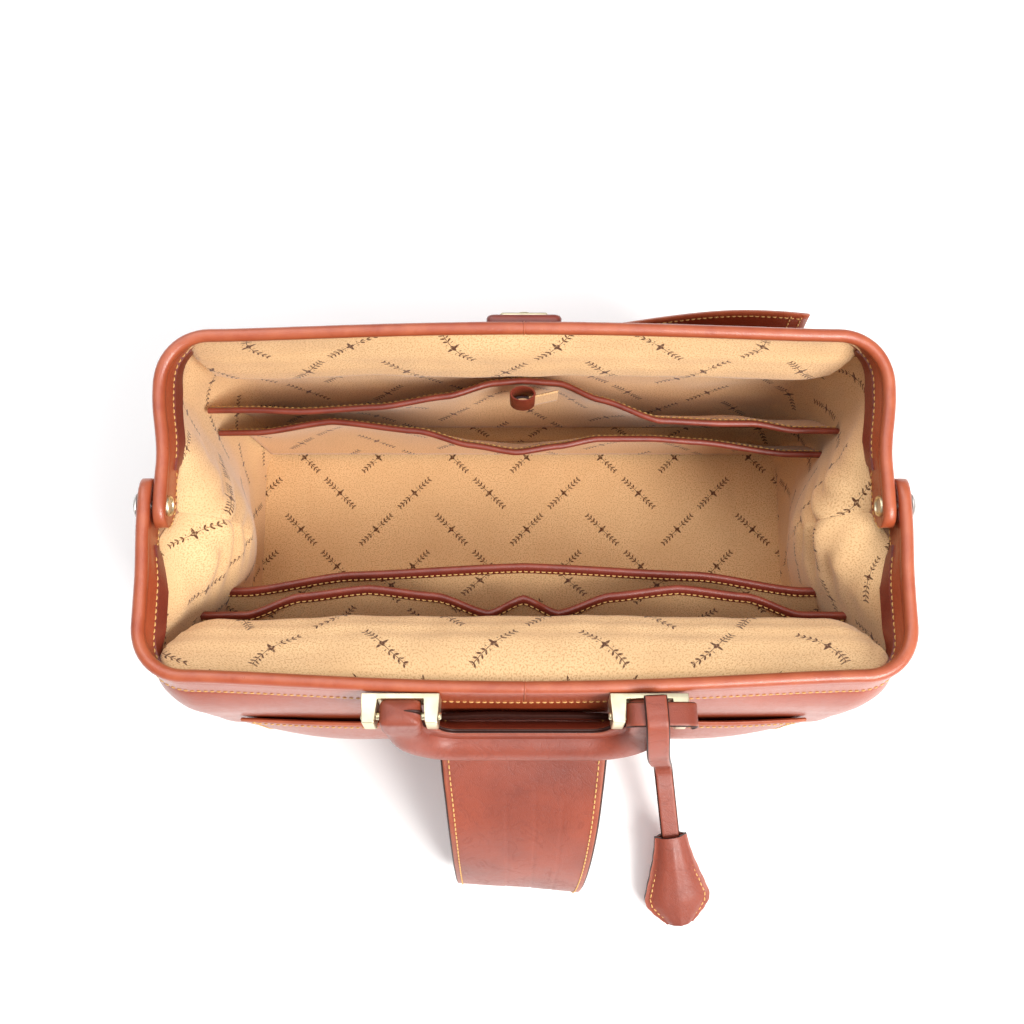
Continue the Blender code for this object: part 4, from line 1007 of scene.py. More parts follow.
# ---------------------------------------------------------------- inside pockets
def make_pocket(name, wall_side, foot, mouth, half_width, dip, node_name):
    """A lining pocket and the bound edge of its mouth, with a row of stitches on the binding."""
    def edge(s):
        move, drop = dip(s)
        return Vector((s * half_width, mouth[0] + move, mouth[1] - drop))

    def surface(u, v):
        s = u * 2 - 1
        top = edge(s)
        bottom = Vector((s * min(half_width, 0.178), foot[0], foot[1]))
        point = bottom.lerp(top, v)
        slack = 0.0012 * ripple(point.x, point.y, point.z, 26.0, 6.0) * math.sin(math.pi * v)
        return Vector((point.x, point.y + 0.006 * math.sin(math.pi * v) * wall_side + slack, point.z))
    turn = surface if wall_side < 0 else (lambda u, v: surface(1 - u, v))
    made = sheet_piece(name + "_cloth", turn, 110, 26, POCKET_SHEET,
                       [POCKET_CLOTH, POCKET_CLOTH, POCKET_CLOTH], "root",
                       shift=(0.031, 0.017))
    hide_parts(node_name)
    steps = 130
    rings = []
    thread = []
    outs = []
    outline = [(0.0, 0.0030), (0.0012, 0.0027), (0.0018, 0.0017), (0.0019, 0.0), (0.0019, -0.0026),
               (0.0014, -0.0031),
               (-0.0014, -0.0031), (-0.0019, -0.0026), (-0.0019, 0.0), (-0.0018, 0.0017), (-0.0012, 0.0027)]
    wear = []
    for k in range(steps + 1):
        s = 2 * k / steps - 1
        centre = edge(s)
        below = surface(k / steps, 0.9)
        lean = (centre - below).normalized()
        flat = Vector((1, 0, 0)).cross(lean)
        centre = centre + lean * 0.0012
        rings.append([centre + flat * across + lean * up for across, up in outline])
        wear += [0.8 * ease(up / 0.003) for _, up in outline]
        toward = flat if flat.z > 0 else -flat
        thread.append(centre + toward * 0.0019 - lean * 0.0013)
        outs.append(toward)
    points, faces = skin(rings)
    made = build(name + "_bound_edge", points, faces, [DARK_HIDE], "root", wear=wear)
    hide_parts(node_name + "_binding")
    thread_line(name + "_thread", thread, outs, "root")


NEAR_LARGE_MOUTH = ((-0.165, -0.0345), (-0.1043, -0.0255), (0.0, -0.0206), (0.1043, -0.0255),
                    (0.165, -0.0345))
NEAR_SMALL_MOUTH = ((-0.160, -0.0515), (-0.130, -0.0410), (-0.090, -0.0364), (-0.050, -0.0410),
                    (-0.020, -0.0512),
                    (0.0, -0.0424), (0.020, -0.0512), (0.050, -0.0410), (0.090, -0.0364),
                    (0.130, -0.0410), (0.160, -0.0515))
FAR_LARGE_MOUTH = ((-0.165, 0.0690), (-0.120, 0.0756), (-0.065, 0.0690), (-0.033, 0.0600), (-0.004, 0.0553),
                   (0.022, 0.0592), (0.047, 0.0640), (0.080, 0.0642), (0.110, 0.0622), (0.165, 0.0550))
FAR_SMALL_MOUTH = ((-0.165, 0.0770), (-0.135, 0.0755), (-0.088, 0.0780), (-0.046, 0.0848), (-0.018, 0.0930),
                   (0.0, 0.0945), (0.022, 0.0930), (0.047, 0.0825), (0.083, 0.0695), (0.120, 0.0680),
                   (0.140, 0.0682), (0.165, 0.0640))


def make_pockets():
    """The four inside pockets."""
    def sag(stations, half_width, middle):
        return lambda s: (table(stations, s * half_width) - middle, 0.004 * s * s)

    make_pocket("near_large", -1, (-0.080, 0.016), (-0.030, 0.112), 0.182,
                sag(NEAR_LARGE_MOUTH, 0.182, -0.030), "near_large_pocket")
    make_pocket("near_small", -1, (-0.086, 0.040), (-0.048, 0.128), 0.187,
                sag(NEAR_SMALL_MOUTH, 0.187, -0.048), "near_small_pockets")
    make_pocket("far_large", 1, (0.082, 0.016), (0.066, 0.105), 0.190,
                sag(FAR_LARGE_MOUTH, 0.190, 0.066), "far_large_pocket")
    make_pocket("far_small", 1, (0.094, 0.040), (0.090, 0.125), 0.192,
                sag(FAR_SMALL_MOUTH, 0.192, 0.090), "far_small_pockets")
# ---------------------------------------------------------------- outer pockets
def make_outer_pocket(name, surface, columns, rows, lines, node_name):
    """A leather slip pocket; lines are the (u, v) routes of its stitches."""
    made = sheet_piece(name, surface, columns, rows, POCKET_LEATHER, [BODY_HIDE, BODY_HIDE, BODY_HIDE],
                       None,
                       wear=lambda u,
                       v: 0.8 * ease((v - 0.975) / 0.02) + 0.5 * ease((0.012 - min(u, 1 - u)) / 0.01))
    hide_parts(node_name)
    bend_with_frame(made)
    for k, route in enumerate(lines):
        line = [Vector(surface(u, v)) for u, v in route]
        normals = []
        for u, v in route:
            along = Vector(surface(min(u + 0.004, 1), v)) - Vector(surface(max(u - 0.004, 0), v))
            rise = Vector(surface(u, min(v + 0.004, 1))) - Vector(surface(u, max(v - 0.004, 0)))
            normals.append(along.cross(rise).normalized())
        bend_with_frame(thread_line(f"{name}_thread_{k + 1}", line, normals, None))


def run(start, stop, count=80):
    """Evenly spaced (u, v) places from one corner to another."""
    return [(mix(start[0], stop[0], k / count), mix(start[1], stop[1], k / count))
            for k in range(count + 1)]


def make_outer_pockets():
    """The pocket under the handle and the one behind, whose right end stands away from the wall."""
    def near(u, v):
        z = mix(0.012, 0.122, v)
        low_corner = 1 - math.sqrt(max(1 - (1 - min(v / 0.35, 1.0)) ** 2, 0.0))
        s = u * 2 - 1
        edge = 1 - abs(s) ** 6
        swell = 0.0016 * ripple(s * 2.0, z * 12, 0, 1.0, 8.0) * edge
        stand = 0.0032 + edge * (0.0014 + 0.0076 * math.sin(math.pi * v)) + swell
        return Vector((s * (0.147 + 0.014 * v - 0.030 * low_corner), -(table(NEAR_PROFILE, z) + stand), z))

    def far(u, v):
        z = mix(0.012, 0.152, v)
        x = (1 - u * 2) * 0.171
        edge = 1 - abs(u * 2 - 1) ** 8
        lift = 0.0175 * ease((x + 0.02) / 0.16) * ease((v - 0.45) / 0.55)
        return Vector((x, table(FAR_PROFILE, z) + 0.0032 + 0.003 * edge + lift, z))

    around = [(0.022, 1 - k * 0.016) for k in range(58)] + run((0.022, 0.06), (0.978, 0.06)) \
        + [(0.978, 0.072 + k * 0.016) for k in range(58)]
    make_outer_pocket("near_slip_pocket", near, 110, 34, [run((0.012, 0.962), (0.988, 0.962), 120),
                                                          around], "front_pocket")
    make_outer_pocket("far_slip_pocket", far, 110, 34,
                      [run((0.010, 0.972), (0.990, 0.972), 120), run((0.012, 0.03), (0.012, 0.985)),
                       run((0.030, 0.03), (0.030, 0.985)), run((0.988, 0.03), (0.988, 0.985)),
                       run((0.012, 0.025), (0.988, 0.025), 120)], "back_pocket")
    for k, route in enumerate((run((0.012, 0.70), (0.012, 0.99)), run((0.030, 0.70), (0.030, 0.99)),
                               run((0.012, 0.972), (0.50, 0.972)))):
        line = [far(u, v) - Vector((0, 0.0023, 0)) for u, v in route]
        made = thread_line(f"far_slip_pocket_inner_thread_{k + 1}", line,
                           [Vector((0, -1, 0.2))] * len(route), None)
        bend_with_frame(made)


# ---------------------------------------------------------------- turned and bevelled hardware
def lathe(name, profile, centre, axis, materials, body, sides=48, node_name=None, wear=0.3):
    """A turned piece: profile is (distance along the axis, radius)."""
    axis = Vector(axis).normalized()
    first = axis.orthogonal().normalized()
    second = axis.cross(first)
    rings = [[Vector(centre) + axis * along + (first * math.cos(t) + second * math.sin(t)) * max(radius,
                                                                                                 1e-5)
              for t in (2 * math.pi * k / sides for k in range(sides))] for along, radius in profile]
    points, faces = skin(rings)
    made = build(name, points, faces, materials, body, wear=[wear] * len(points), sharp=35)
    if node_name:
        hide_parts(node_name)
    return made


def bar_seat(half, x):
    """A place on the outer face of a bar, half way down its flat part, with its outward and downward ways."""
    lean = math.radians(half["flare"])
    down = Vector((0, math.sin(lean), -math.cos(lean)))
    out = Vector((0, math.cos(lean), math.sin(lean)))
    bar = half["bar"] - CORNER
    reach = half["reach"] + half["bow"] * (1 - (x / bar) ** 2)
    local = Vector((0, reach, 0)) + down * (STRIP / 2 + 0.0025) + out * HALF_STRIP
    turn = lambda v: frame_place(half, 0, v.y, v.z) - Vector((0, 0, HINGE_Z))
    return frame_place(half, x, local.y, local.z), turn(out), turn(down)


def bracket_seat():
    """Where the brackets stand on the near bar."""
    face, out, down = bar_seat(NEAR, BRACKET_X)
    return face + out * 0.0010 - down * 0.0060, out, down


def make_brackets():
    """Two cast brackets: a channel with two ears, riveted on, with a pin across the ears."""
    face, out, down = bracket_seat()
    pin = face + out * PIN_REACH
    half = 0.020
    for name, side in (("left", -1), ("right", 1)):
        centre = Vector((side * BRACKET_X, face.y, face.z))
        outline = [(-half, 0.0004), (half, 0.0004), (half, 0.0034), (half - 0.0008, 0.0152),
                   (half - 0.0014, 0.0158),
                   (half - 0.0066, 0.0158), (half - 0.0072, 0.0152), (half - 0.0082, 0.0034)]
        outline += [(-x, n) for x, n in outline[:1:-1]]
        rings = []
        for h, pull in ((-0.0072, 0.0006), (-0.0062, 0.0), (0.0, 0.0), (0.0058, 0.0), (0.0074, 0.0008)):
            rings.append([centre + Vector((x * (1 - pull * 12), 0, 0))
                          + out * (n - pull * 0.5 if n > 0.001 else n) + down * h
                          for x, n in outline])
        points, faces = skin(rings)
        made = build(f"handle_bracket_{name}_casting", points, faces, [BRASS], "front_frame",
                     bevel=0.0005, wear=[0.5])
        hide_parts("handle_bracket_" + name)
        end = half + (0.0034 if side > 0 else 0.0006)
        profile = [(-half - 0.0005, 0.0), (-half - 0.0005, 0.0015), (-half, 0.0019), (end - 0.0005, 0.0019),
                   (end, 0.0015), (end, 0.0)]
        lathe(f"bracket_{name}_pin", profile, (side * BRACKET_X, pin.y, pin.z), (1, 0, 0), [BRASS],
              "front_frame",
              32, "bracket_pin_" + name, 0.6)
    return pin


# ---------------------------------------------------------------- handle
HANDLE_DROOP = 75.0
HANDLE_DROP = 0.043
HANDLE_BEND = 0.028


def handle_route():
    """The handle's middle line in its own plane: (x, drop) with the direction to its inside."""
    arc_x = BRACKET_X - HANDLE_BEND
    arc_drop = HANDLE_DROP - HANDLE_BEND
    left = [((-BRACKET_X, drop), (1, 0)) for drop in (-0.0089, -0.0087, -0.0082, -0.0073, -0.0060,
                                                      -0.0048, -0.0030)]
    left += [((-BRACKET_X, -0.0012 + k * 0.0016), (1, 0)) for k in range(10)]
    for k in range(15):
        angle = math.pi / 2 * k / 14
        left.append(((-arc_x - HANDLE_BEND * math.cos(angle), arc_drop + HANDLE_BEND * math.sin(angle)),
                     (math.cos(angle), -math.sin(angle))))
    left += [((-arc_x * (1 - k / 12), HANDLE_DROP), (0, -1)) for k in range(1, 12)]
    return left + [((0.0, HANDLE_DROP), (0, -1))] + [((-x, d), (-i, j)) for (x, d), (i, j) in left[::-1]]


def make_handle(pin):
    """Leather rolled over rope, its two edges sewn into a flange along the inside of the bend."""
    droop = math.radians(HANDLE_DROOP)
    along = Vector((0, -math.cos(droop), -math.sin(droop)))
    across = Vector((0, -math.sin(droop), math.cos(droop)))
    origin = Vector((0, pin.y, pin.z))
    route = handle_route()
    rings = []
    wear = []
    sew = []
    round_points = 30
    for (x, drop), (i, j) in route:
        full = ease((drop - 0.010) / 0.018)
        cap = math.sqrt(max(1 - ((-0.0048 - min(drop, -0.0048)) / 0.0042) ** 2, 0.02))
        radius = 0.0105 * cap
        depth = mix(0.0070, 0.0105, full) * cap
        square = mix(0.30, 1.0, ease((drop - 0.006) / 0.012))
        flange = 0.0074 * ease((drop - 0.012) / 0.012)
        thick = mix(depth * 0.3, 0.0019, ease((drop - 0.010) / 0.010))
        centre = origin + Vector((x, 0, 0)) + along * drop
        inside = Vector((i, 0, 0)) + along * j
        start = math.asin(min(thick / radius, 0.9)) + 0.10
        ring = [(radius + flange * 0.5, thick), (radius * 0.99, thick * 1.05)]
        for k in range(round_points):
            angle = start + (2 * math.pi - 2 * start) * k / (round_points - 1)
            c, t = math.cos(angle), math.sin(angle)
            ring.append((radius * math.copysign(abs(c) ** square, c),
                         depth * math.copysign(abs(t) ** square, t)))
        ring += [(radius * 0.99, -thick * 1.05), (radius + flange * 0.5, -thick),
                 (radius + flange - 0.0005, -thick * 0.95),
                 (radius + flange, -thick * 0.62), (radius + flange, -thick * 0.12),
                 (radius + flange - 0.0004, 0.0),
                 (radius + flange, thick * 0.12), (radius + flange, thick * 0.62),
                 (radius + flange - 0.0005, thick * 0.95)]
        rings.append([centre + inside * a + across * b for a, b in ring])
        wear += [0.45 * ease((a - radius - flange + 0.002) / 0.002) if flange > 0.004 else 0.1 for a,
                 b in ring]
        if drop > 0.0215:
            sew.append(centre + inside * (radius + flange * 0.52) - across * thick)
    points, faces = skin(rings)
    count = len(rings[0])
    edge_from = round_points + 5
    marks = [1 if edge_from <= k % count <= edge_from + 3 and k < count * (len(rings) - 1) else 0
             for k in range(len(faces))]
    made = build("handle_leather", points, faces, [STRAP_HIDE, EDGE_PAINT], "handle", marks=marks,
                 wear=wear, sharp=70)
    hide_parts("handle_grip")
    thread_line("handle_thread", sew, [-across] * len(sew), "handle", DARK_THREAD)


# ---------------------------------------------------------------- closing strap
STRAP_ROUTE = ((-0.1089, 0.155), (-0.1092, 0.145), (-0.1096, 0.134), (-0.1140, 0.1265), (-0.1225, 0.1235),
               (-0.134, 0.1190), (-0.150, 0.1105), (-0.172, 0.094), (-0.192, 0.069), (-0.205, 0.041),
               (-0.2072, 0.0225), (-0.2010, 0.0095), (-0.188, 0.0042), (-0.168, 0.0030), (-0.146, 0.0030))


def strap_place(share, across, lift):
    """A place on the strap: across from -1 to 1, lifted off its middle."""
    line = [(0, y, z) for y, z in STRAP_ROUTE]
    point = spline(line, share)
    along = (spline(line, min(share + 0.004, 1)) - spline(line, max(share - 0.004, 0))).normalized()
    half = 0.0462 - 0.0088 * ease((share - 0.30) / 0.42)
    half *= 1 - 0.22 * ease((share - 0.985) / 0.015) ** 2
    curl = 0.0007 * across * across + 0.0006 * ripple(across * 1.4, share * 9, 0, 1.0, 6.0)
    for line_at, drift in ((-0.22, 0.10), (0.16, 0.28), (0.52, 0.05)):
        fold = across - line_at - drift * (share - 0.5) + 0.03 * ripple(share * 4, line_at * 9, 0, 1.0, 2.0)
        curl -= 0.00032 * math.exp(-(fold / 0.016) ** 2) * ease((share - 0.40) / 0.10)
    out = Vector((0, along.z, -along.y))
    skew = 0.0026 * across * ease((share - 0.42) / 0.25)
    return Vector((across * half - 0.0040 * ease((share - 0.45) / 0.35), point.y - skew,
                   point.z)) + out * (lift + curl), out


def make_strap():
    """The closing strap, sewn on under the frame and turned back under its own end, with a slotted tongue."""
    surface = lambda u, v: strap_place(u, v * 2 - 1, 0.0017)[0]
    made = sheet_piece("closing_strap_leather", surface, 170, 80, STRAP_LEATHER,
                       [STRAP_HIDE, STRAP_HIDE, EDGE_PAINT], None,
                       wear=lambda u, v: 0.7 * ease((0.035 - min(v, 1 - v)) / 0.03))
    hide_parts("strap_root", "closing_strap")
    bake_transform(made)
    for label, side in (("left", -1), ("right", 1)):
        places = [strap_place(0.02 + 0.965 * k / 260, side * 0.925, 0.0018) for k in range(261)]
        line = thread_line(f"strap_{label}_thread", [p for p, _ in places], [o for _, o in places], None)
        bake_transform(line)
    box_low, box_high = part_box("strap_tongue")
    cx = (box_low[0] + box_high[0]) / 2
    near, far = box_low[1] - 0.010, box_high[1]
    mid_z = (box_low[2] + box_high[2]) / 2
    slot_mid = box_low[1] + 0.0099
    points = []
    ring = []
    for k in range(48):
        angle = 2 * math.pi * k / 48
        c, s = math.cos(angle), math.sin(angle)
        wide = min(0.0128 / max(abs(c), 1e-6),
                   (far - slot_mid if s > 0 else slot_mid - near) / max(abs(s), 1e-6))
        small = min(0.0042 / max(abs(c), 1e-6), 0.0034 / max(abs(s), 1e-6))
        ring.append(((cx + c * wide, slot_mid + s * wide), (cx + c * small, slot_mid + s * small)))
    for (ox, oy), (ix, iy) in ring:
        points += [(ox, oy, mid_z - 0.0009), (ox, oy, mid_z + 0.0009), (ix, iy, mid_z + 0.0009),
                   (ix, iy, mid_z - 0.0009)]
    faces = []
    for k in range(48):
        m = (k + 1) % 48
        for n in range(4):
            faces.append((k * 4 + n, k * 4 + (n + 1) % 4, m * 4 + (n + 1) % 4, m * 4 + n))
    made = build("strap_tongue_plate", points, faces, [BRASS], "strap", bevel=0.0003,
                 wear=[0.5])
    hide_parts("strap_tongue")


# ---------------------------------------------------------------- key fob
BELL_AXIS = Vector((0.120, -0.930, -0.345)).normalized()
BELL_ENTRY = Vector((0.0953, -0.178, 0.0262))
BELL_LENGTH = 0.0590
FOB_BEND = BELL_ENTRY - BELL_AXIS * 0.042
THONG_ROUTE = ((0.0665, -0.1238, 0.1950), (0.0680, -0.1292, 0.1830), (0.0710, -0.1330, 0.1640),
               (0.0755, -0.1345, 0.1370), (0.0800, -0.1342, 0.1060), (0.0845, -0.1342, 0.0760),
               (0.0880, -0.1346, 0.0540))
BELL_STATIONS = ((0.0, 0.0104), (0.006, 0.0112), (0.014, 0.0130), (0.024, 0.0160), (0.033, 0.0190),
                 (0.0405, 0.0212),
                 (0.0450, 0.0206), (0.0500, 0.0172), (0.0550, 0.0126), (BELL_LENGTH, 0.0086))


def strip_band(name, line, across, half_width, thickness, body, columns=90):
    """A flat leather thong along a line; across is its sideways direction at each place."""
    def surface(u, v):
        here = spline(line, u)
        along = (spline(line, min(u + 0.005, 1)) - spline(line, max(u - 0.005, 0))).normalized()
        side = across(u) if callable(across) else across
        side = (side - along * side.dot(along)).normalized()
        face = along.cross(side)
        return here + side * (v * 2 - 1) * half_width + face * thickness / 2
    return sheet_piece(name, surface, columns, 8, thickness, [STRAP_HIDE, STRAP_HIDE, EDGE_PAINT], body,
                       wear=lambda u, v: 0.4 * ease((0.14 - min(v, 1 - v)) / 0.12))


def make_fob():
    """The band round the bracket, the long thong, the key and the sewn bell over it."""
    face, out, _ = bracket_seat()
    middle = face + out * 0.0104
    path = ((0.0520, 0.1920), (0.0545, 0.1962), (0.0600, 0.1982), (0.0680, 0.1988), (0.0760, 0.1986),
            (0.0820, 0.1976),
            (0.0858, 0.1940), (0.0866, 0.1880), (0.0862, 0.1810))
    line = [Vector((x, middle.y + (z - middle.z) * 0.02, z)) for x, z in path]
    band = strip_band("fob_band", line, out, 0.0058, 0.0018, "front_frame")
    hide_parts("fob_loop")
    for label, side in (("near", 1), ("far", -1)):
        places = [spline(line, 0.06 + 0.88 * k / 60) for k in range(61)]
        outs = []
        for k in range(61):
            along = (places[min(k + 1, 60)] - places[max(k - 1, 0)]).normalized()
            outs.append(along.cross(out).normalized())
        lifted = [p + out * side * 0.0043 + o * 0.0010 for p, o in zip(places, outs)]
        thread_line(f"fob_band_{label}_thread", lifted, outs, "front_frame")

    across = BELL_AXIS.cross(Vector((0, 0, 1))).normalized()
    up = across.cross(BELL_AXIS)
    route = [(0.0652, -0.1020, 0.1998), (0.0656, -0.1105, 0.2010), (0.0661, -0.1185, 0.1994)]
    route += list(THONG_ROUTE)[1:] + [tuple(FOB_BEND - BELL_AXIS * 0.0012)]
    route += [tuple(FOB_BEND + BELL_AXIS * (0.012 + 0.0135 * k)) for k in range(4)]
    sideways = lambda u: Vector((1, 0.06, 0)).lerp(across if across.x > 0 else -across,
                                                   ease((u - 0.62) / 0.16)).normalized()
    thong = strip_band("fob_long_thong", route, sideways, 0.0052, 0.0022, None, columns=140)
    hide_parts("fob_thong", "fob_tail")
    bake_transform(thong)

    start = BELL_ENTRY + BELL_AXIS * 0.0118
    outline = [(0.0, 0.0036), (0.0012, 0.0054), (0.0050, 0.0062), (0.0094, 0.0054), (0.0120, 0.0026),
               (0.0132, 0.0019),
               (0.0260, 0.0019), (0.0262, 0.0042), (0.0288, 0.0042), (0.0289, 0.0030), (0.0300, 0.0030),
               (0.0301, 0.0042),
               (0.0325, 0.0042), (0.0332, 0.0018)]
    flat = [start + BELL_AXIS * s + across * w for s, w in outline]
    flat += [start + BELL_AXIS * s - across * min(w, 0.0019 if s > 0.02 else w) for s, w in outline[::-1]]
    points, faces = skin([[p + up * h for p in flat] for h in (-0.0008, 0.0008)])
    made = build("fob_key", points, faces, [NICKEL], "fob_end", bevel=0.0002, wear=[0.4])
    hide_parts("key")

    rings = []
    hollow = []
    steps = 46
    shares = [k / 15 * 2 - 1 for k in range(16)]
    for k in range(steps + 1):
        s = BELL_LENGTH * k / steps
        wide = table(BELL_STATIONS, s)
        belly = mix(0.0040, 0.0056, ease(s / 0.02)) * (1 - 0.35 * ease((s - 0.040) / 0.020))
        ring = []
        for t in shares:
            ridge = 0.0009 * math.exp(-(t / 0.10) ** 2) * ease(s / 0.012)
            hump = belly * max(1 - abs(t / 0.80) ** 2.6, 0.0) ** 0.7 + 0.0016 + ridge
            ring.append((t * wide, hump))
        ring += [(t * wide, -h) for (_, h), t in zip(ring[::-1], shares[::-1])]
        rings.append([BELL_ENTRY + BELL_AXIS * s + across * a + up * b for a, b in ring])
        hollow.append([BELL_ENTRY + BELL_AXIS * s + across * a * 0.80
                       + up * math.copysign(max(abs(b) - 0.0013, 0.0009), b)
                       for a, b in ring])
    count = len(rings[0])
    wear = [0.5 * ease((abs(shares[k % 16 if k % 32 < 16 else 31 - k % 32]) - 0.88) / 0.1)
            for k in range(count * (2 * steps + 3))]
    points, faces = skin(rings + hollow[::-1] + rings[:1], cap=False)
    marks = [1 if (k % count in (15, 31) and k < count * steps) or k // count in (steps, 2 * steps + 1)
             else 0
             for k in range(len(faces))]
    made = build("fob_bell_leather", points, faces, [STRAP_HIDE, EDGE_PAINT], "fob_bell", marks=marks,
                 wear=wear, sharp=60)
    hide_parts("fob_bell")
    for face_label, face_sign in (("upper", 1), ("lower", -1)):
        for label, sign in (("left", -1), ("right", 1)):
            line = []
            for k in range(70):
                s = 0.002 + (BELL_LENGTH - 0.004) * k / 69
                wide = table(BELL_STATIONS, s)
                line.append(BELL_ENTRY + BELL_AXIS * s + across * sign * (wide - 0.0034)
                            + up * face_sign * 0.0021)
            thread_line(f"bell_{face_label}_{label}_thread", line, [up * face_sign] * len(line),
                        "fob_bell")


# ---------------------------------------------------------------- middle seams
def make_seam(name, half, body):
    """The ridge where the cover's two lengths of leather meet, in the middle of a bar."""
    fact = station_facts(half, [(-0.004, bar_reach(half, 0.004)), (0.0, bar_reach(half, 0.0)),
                                (0.004, bar_reach(half, 0.004))])[1]
    outline = cover_outline()
    path = [on_frame(half, fact, n, h) for n, h in outline]
    rings = []
    for k, place in enumerate(path):
        along = (path[min(k + 1, len(path) - 1)] - path[max(k - 1, 0)]).normalized()
        out = Vector((1, 0, 0)).cross(along)
        rings.append([place + Vector((0.00042, 0, 0)) * math.cos(t) + out * 0.00034 * math.sin(t)
                      for t in (2 * math.pi * n / 8 for n in range(8))])
    points, faces = skin(rings)
    build(name, points, faces, [RIM_HIDE], body, wear=[1.0] * len(points))


# ---------------------------------------------------------------- lock, pivots and pen loop
def make_lock():
    """The padded patch on the far bar, with the lock case let into it and its push button."""
    face, out, down = bar_seat(FAR, 0.0)
    centre = face + down * 0.0006

    def ring(half_x, half_h, n, radius):
        return [centre + Vector((x, 0, 0)) + down * h + out * n for x,
                h in rounded_outline(half_x, half_h, radius, 6)]
    rings = [ring(0.0206, 0.0082, 0.0003, 0.0035), ring(0.0206, 0.0082, 0.0030, 0.0035),
             ring(0.0198, 0.0074, 0.0044, 0.0032),
             ring(0.0182, 0.0064, 0.0050, 0.0026), ring(0.0136, 0.0055, 0.0048, 0.0016),
             ring(0.0133, 0.0052, 0.0010, 0.0016)]
    points, faces = skin(rings)
    made = build("lock_leather_patch", points, faces, [DARK_HIDE], "back_frame",
                 wear=[0.25] * len(points))
    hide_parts("lock_patch")
    rings = [ring(0.0130, 0.0050, 0.0005, 0.0015), ring(0.0130, 0.0050, 0.0056, 0.0015),
             ring(0.0124, 0.0044, 0.0062, 0.0013)]
    hole = lambda radius, n: [centre + Vector((1, 0, 0)) * radius * math.cos(t)
                              + down * radius * math.sin(t) + out * n
                              for t in (2 * math.pi * k / 28 for k in range(28))]
    rings += [hole(0.0042, 0.0062), hole(0.0036, 0.0058), hole(0.0034, 0.0016)]
    points, faces = skin(rings)
    made = build("lock_case_plate", points, faces, [BRASS], "back_frame",
                 wear=[0.4] * len(points), sharp=35)
    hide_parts("lock_case")
    lathe("lock_push_button", ((0.0036, 0.0), (0.0036, 0.0030), (0.0062, 0.0030), (0.0067, 0.0026),
                               (0.0069, 0.0018), (0.0070, 0.0)),
          centre, out, [BRASS], "lock_button", 36, "lock_button", 0.6)


def make_pivots():
    """A tubular rivet through both arms: a brass ring and washer inside, a domed steel head outside."""
    inner = FAR["arm"] - BEAD - 0.0004
    outer = NEAR["arm"] + BEAD + 0.0004
    for name, side in (("left", -1), ("right", 1)):
        axis = (side, 0, 0)
        place = (0, 0, HINGE_Z)
        lathe(f"pivot_{name}_ring", ((inner + 0.0012, 0.0056), (inner + 0.0002, 0.0056),
                                     (inner - 0.0004, 0.0052),
                                     (inner - 0.0004, 0.0045), (inner + 0.0002, 0.0040),
                                     (inner + 0.0012, 0.0038)),
              place, axis, [BRASS], "root", 44, "pivot_washer_" + name, 0.5)
        lathe(f"pivot_{name}_tube", ((inner + 0.0004, 0.0), (inner + 0.0002, 0.0036),
                                     (inner + 0.0010, 0.0038),
                                     (inner + 0.0014, 0.0024), (outer - 0.0001, 0.0024),
                                     (outer - 0.0001, 0.0070), (outer + 0.0006, 0.0073),
                                     (outer + 0.0014, 0.0068), (outer + 0.0022, 0.0052),
                                     (outer + 0.0026, 0.0030), (outer + 0.0027, 0.0)),
              place, axis, [NICKEL], "root", 44, "pivot_rivet_" + name, 0.3)


def make_pen_loop():
    """A rolled leather tube for a pen, with the stitched tab it hangs from."""
    low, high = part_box("pen_loop")
    cx = (low[0] + high[0]) / 2
    cy = (low[1] + high[1]) / 2
    half_y = (high[1] - low[1]) / 2
    half_x = (high[0] - low[0]) / 2
    rings = []
    wear = []
    for radius, z in ((0.72, low[2] - 0.006), (0.97, low[2] - 0.0055), (1.0, low[2]),
                      (1.0, high[2] - 0.0004), (0.96, high[2] + 0.0004),
                      (0.84, high[2] + 0.0004), (0.80, high[2] - 0.0004), (0.80, low[2])):
        rings.append([Vector((cx + half_x * radius * math.cos(t), cy + half_y * radius * math.sin(t), z))
                      for t in (2 * math.pi * k / 44 for k in range(44))])
        wear += [0.8 if z > high[2] - 0.001 else 0.1] * 44
    points, faces = skin(rings, cap=False)
    made = build("pen_tube", points, faces, [DARK_HIDE], "root", wear=wear)
    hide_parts("pen_loop")
    tab = lambda u, v: Vector((cx + half_x * 0.5 + 0.0175 * u, cy - half_y * 0.5 + 0.004 * u,
                               mix(low[2] - 0.004, high[2] - 0.001, v)))
    sheet_piece("pen_tab", tab, 14, 8, 0.0012, [POCKET_CLOTH, POCKET_CLOTH, POCKET_CLOTH], "root",
                shift=(0.013, 0.043))


def dress_hidden_pieces():
    """The pieces inside the leather keep their own shapes and get the makers' materials."""
    for name, material in (("base_board", BOARD),
                           ("handle_core", ROPE), ("handle_eye_left", BRASS), ("handle_eye_right", BRASS)):
        for held in bpy.data.objects[name].material_slots:
            held.material = material




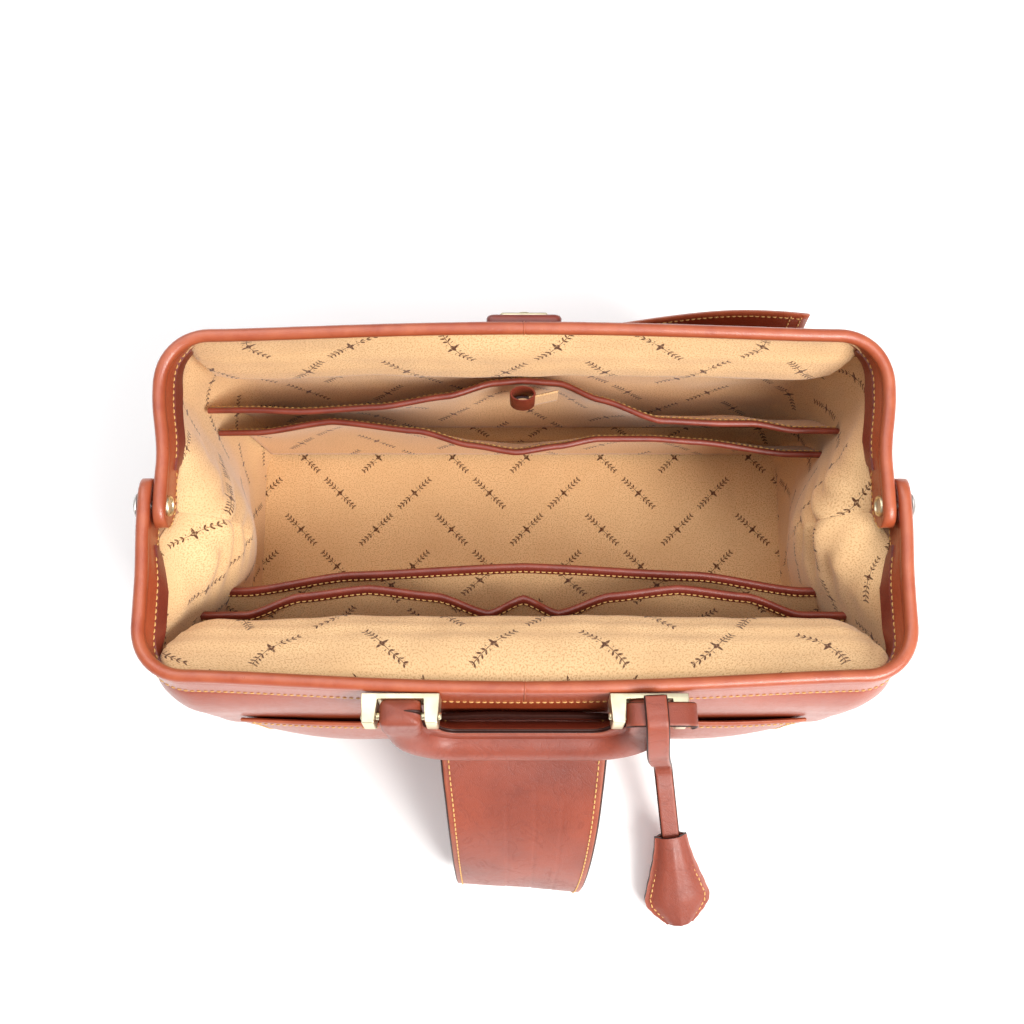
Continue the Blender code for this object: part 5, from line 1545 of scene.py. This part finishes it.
# ---------------------------------------------------------------- floor, light and camera
def make_stage():
    """A white sweep, soft light from above and a camera over the handle side."""
    mesh = bpy.data.meshes.new("studio_floor")
    mesh.from_pydata([(-6, -6, 0), (6, -6, 0), (6, 6, 0), (-6, 6, 0)], [], [(0, 1, 2, 3)])
    ground = bpy.data.objects.new("studio_floor", mesh)
    bpy.context.scene.collection.objects.link(ground)
    white, _, shader = blank_material("studio white")
    shader.inputs["Base Color"].default_value = (0.93, 0.93, 0.93, 1)
    shader.inputs["Roughness"].default_value = 0.8
    shader.inputs["Emission Color"].default_value = (1.0, 1.0, 1.0, 1)
    shader.inputs["Emission Strength"].default_value = 0.12
    mesh.materials.append(white)
    world = bpy.data.worlds.new("soft room")
    bpy.context.scene.world = world
    world.use_nodes = True
    back = world.node_tree.nodes["Background"]
    back.inputs["Color"].default_value = (1.0, 1.0, 1.0, 1)
    back.inputs["Strength"].default_value = 0.42
    for name, place, size, power, tint in (
            ("key_softbox", (0.80, -0.80, 1.25), 0.7, 33.0, (1.0, 0.98, 0.95)),
            ("fill_softbox", (-0.7, 0.75, 1.2), 1.0, 7.0, (0.97, 0.98, 1.0)),
            ("top_softbox", (0.0, 0.0, 1.7), 1.4, 11.0, (1.0, 1.0, 1.0))):
        light = bpy.data.lights.new(name, "AREA")
        light.shape = "SQUARE"
        light.size = size
        light.energy = power
        light.color = tint
        lamp = bpy.data.objects.new(name, light)
        lamp.location = place
        lamp.rotation_euler = (Vector((0, 0, 0.08)) - Vector(place)).to_track_quat("-Z", "Y").to_euler()
        bpy.context.scene.collection.objects.link(lamp)
    lens = bpy.data.cameras.new("over_the_mouth")
    lens.lens = 36.91
    lens.sensor_width = 36.0
    lens.clip_start = 0.01
    view = bpy.data.objects.new("over_the_mouth", lens)
    view.location = (-0.0066, -0.1397, 0.732)
    view.rotation_euler = (math.radians(14), 0, 0)
    bpy.context.scene.collection.objects.link(view)
    bpy.context.scene.camera = view
    bpy.context.scene.view_settings.view_transform = "Standard"


make_frame()
make_shell()
make_lining()
make_floor()
make_base()
make_pockets()
make_outer_pockets()
handle_pin = make_brackets()
make_handle(handle_pin)
make_strap()
make_fob()
make_seam("near_bar_seam", NEAR, "front_frame")
make_seam("far_bar_seam", FAR, "back_frame")
make_lock()
make_pivots()
make_pen_loop()
dress_hidden_pieces()
make_stage()
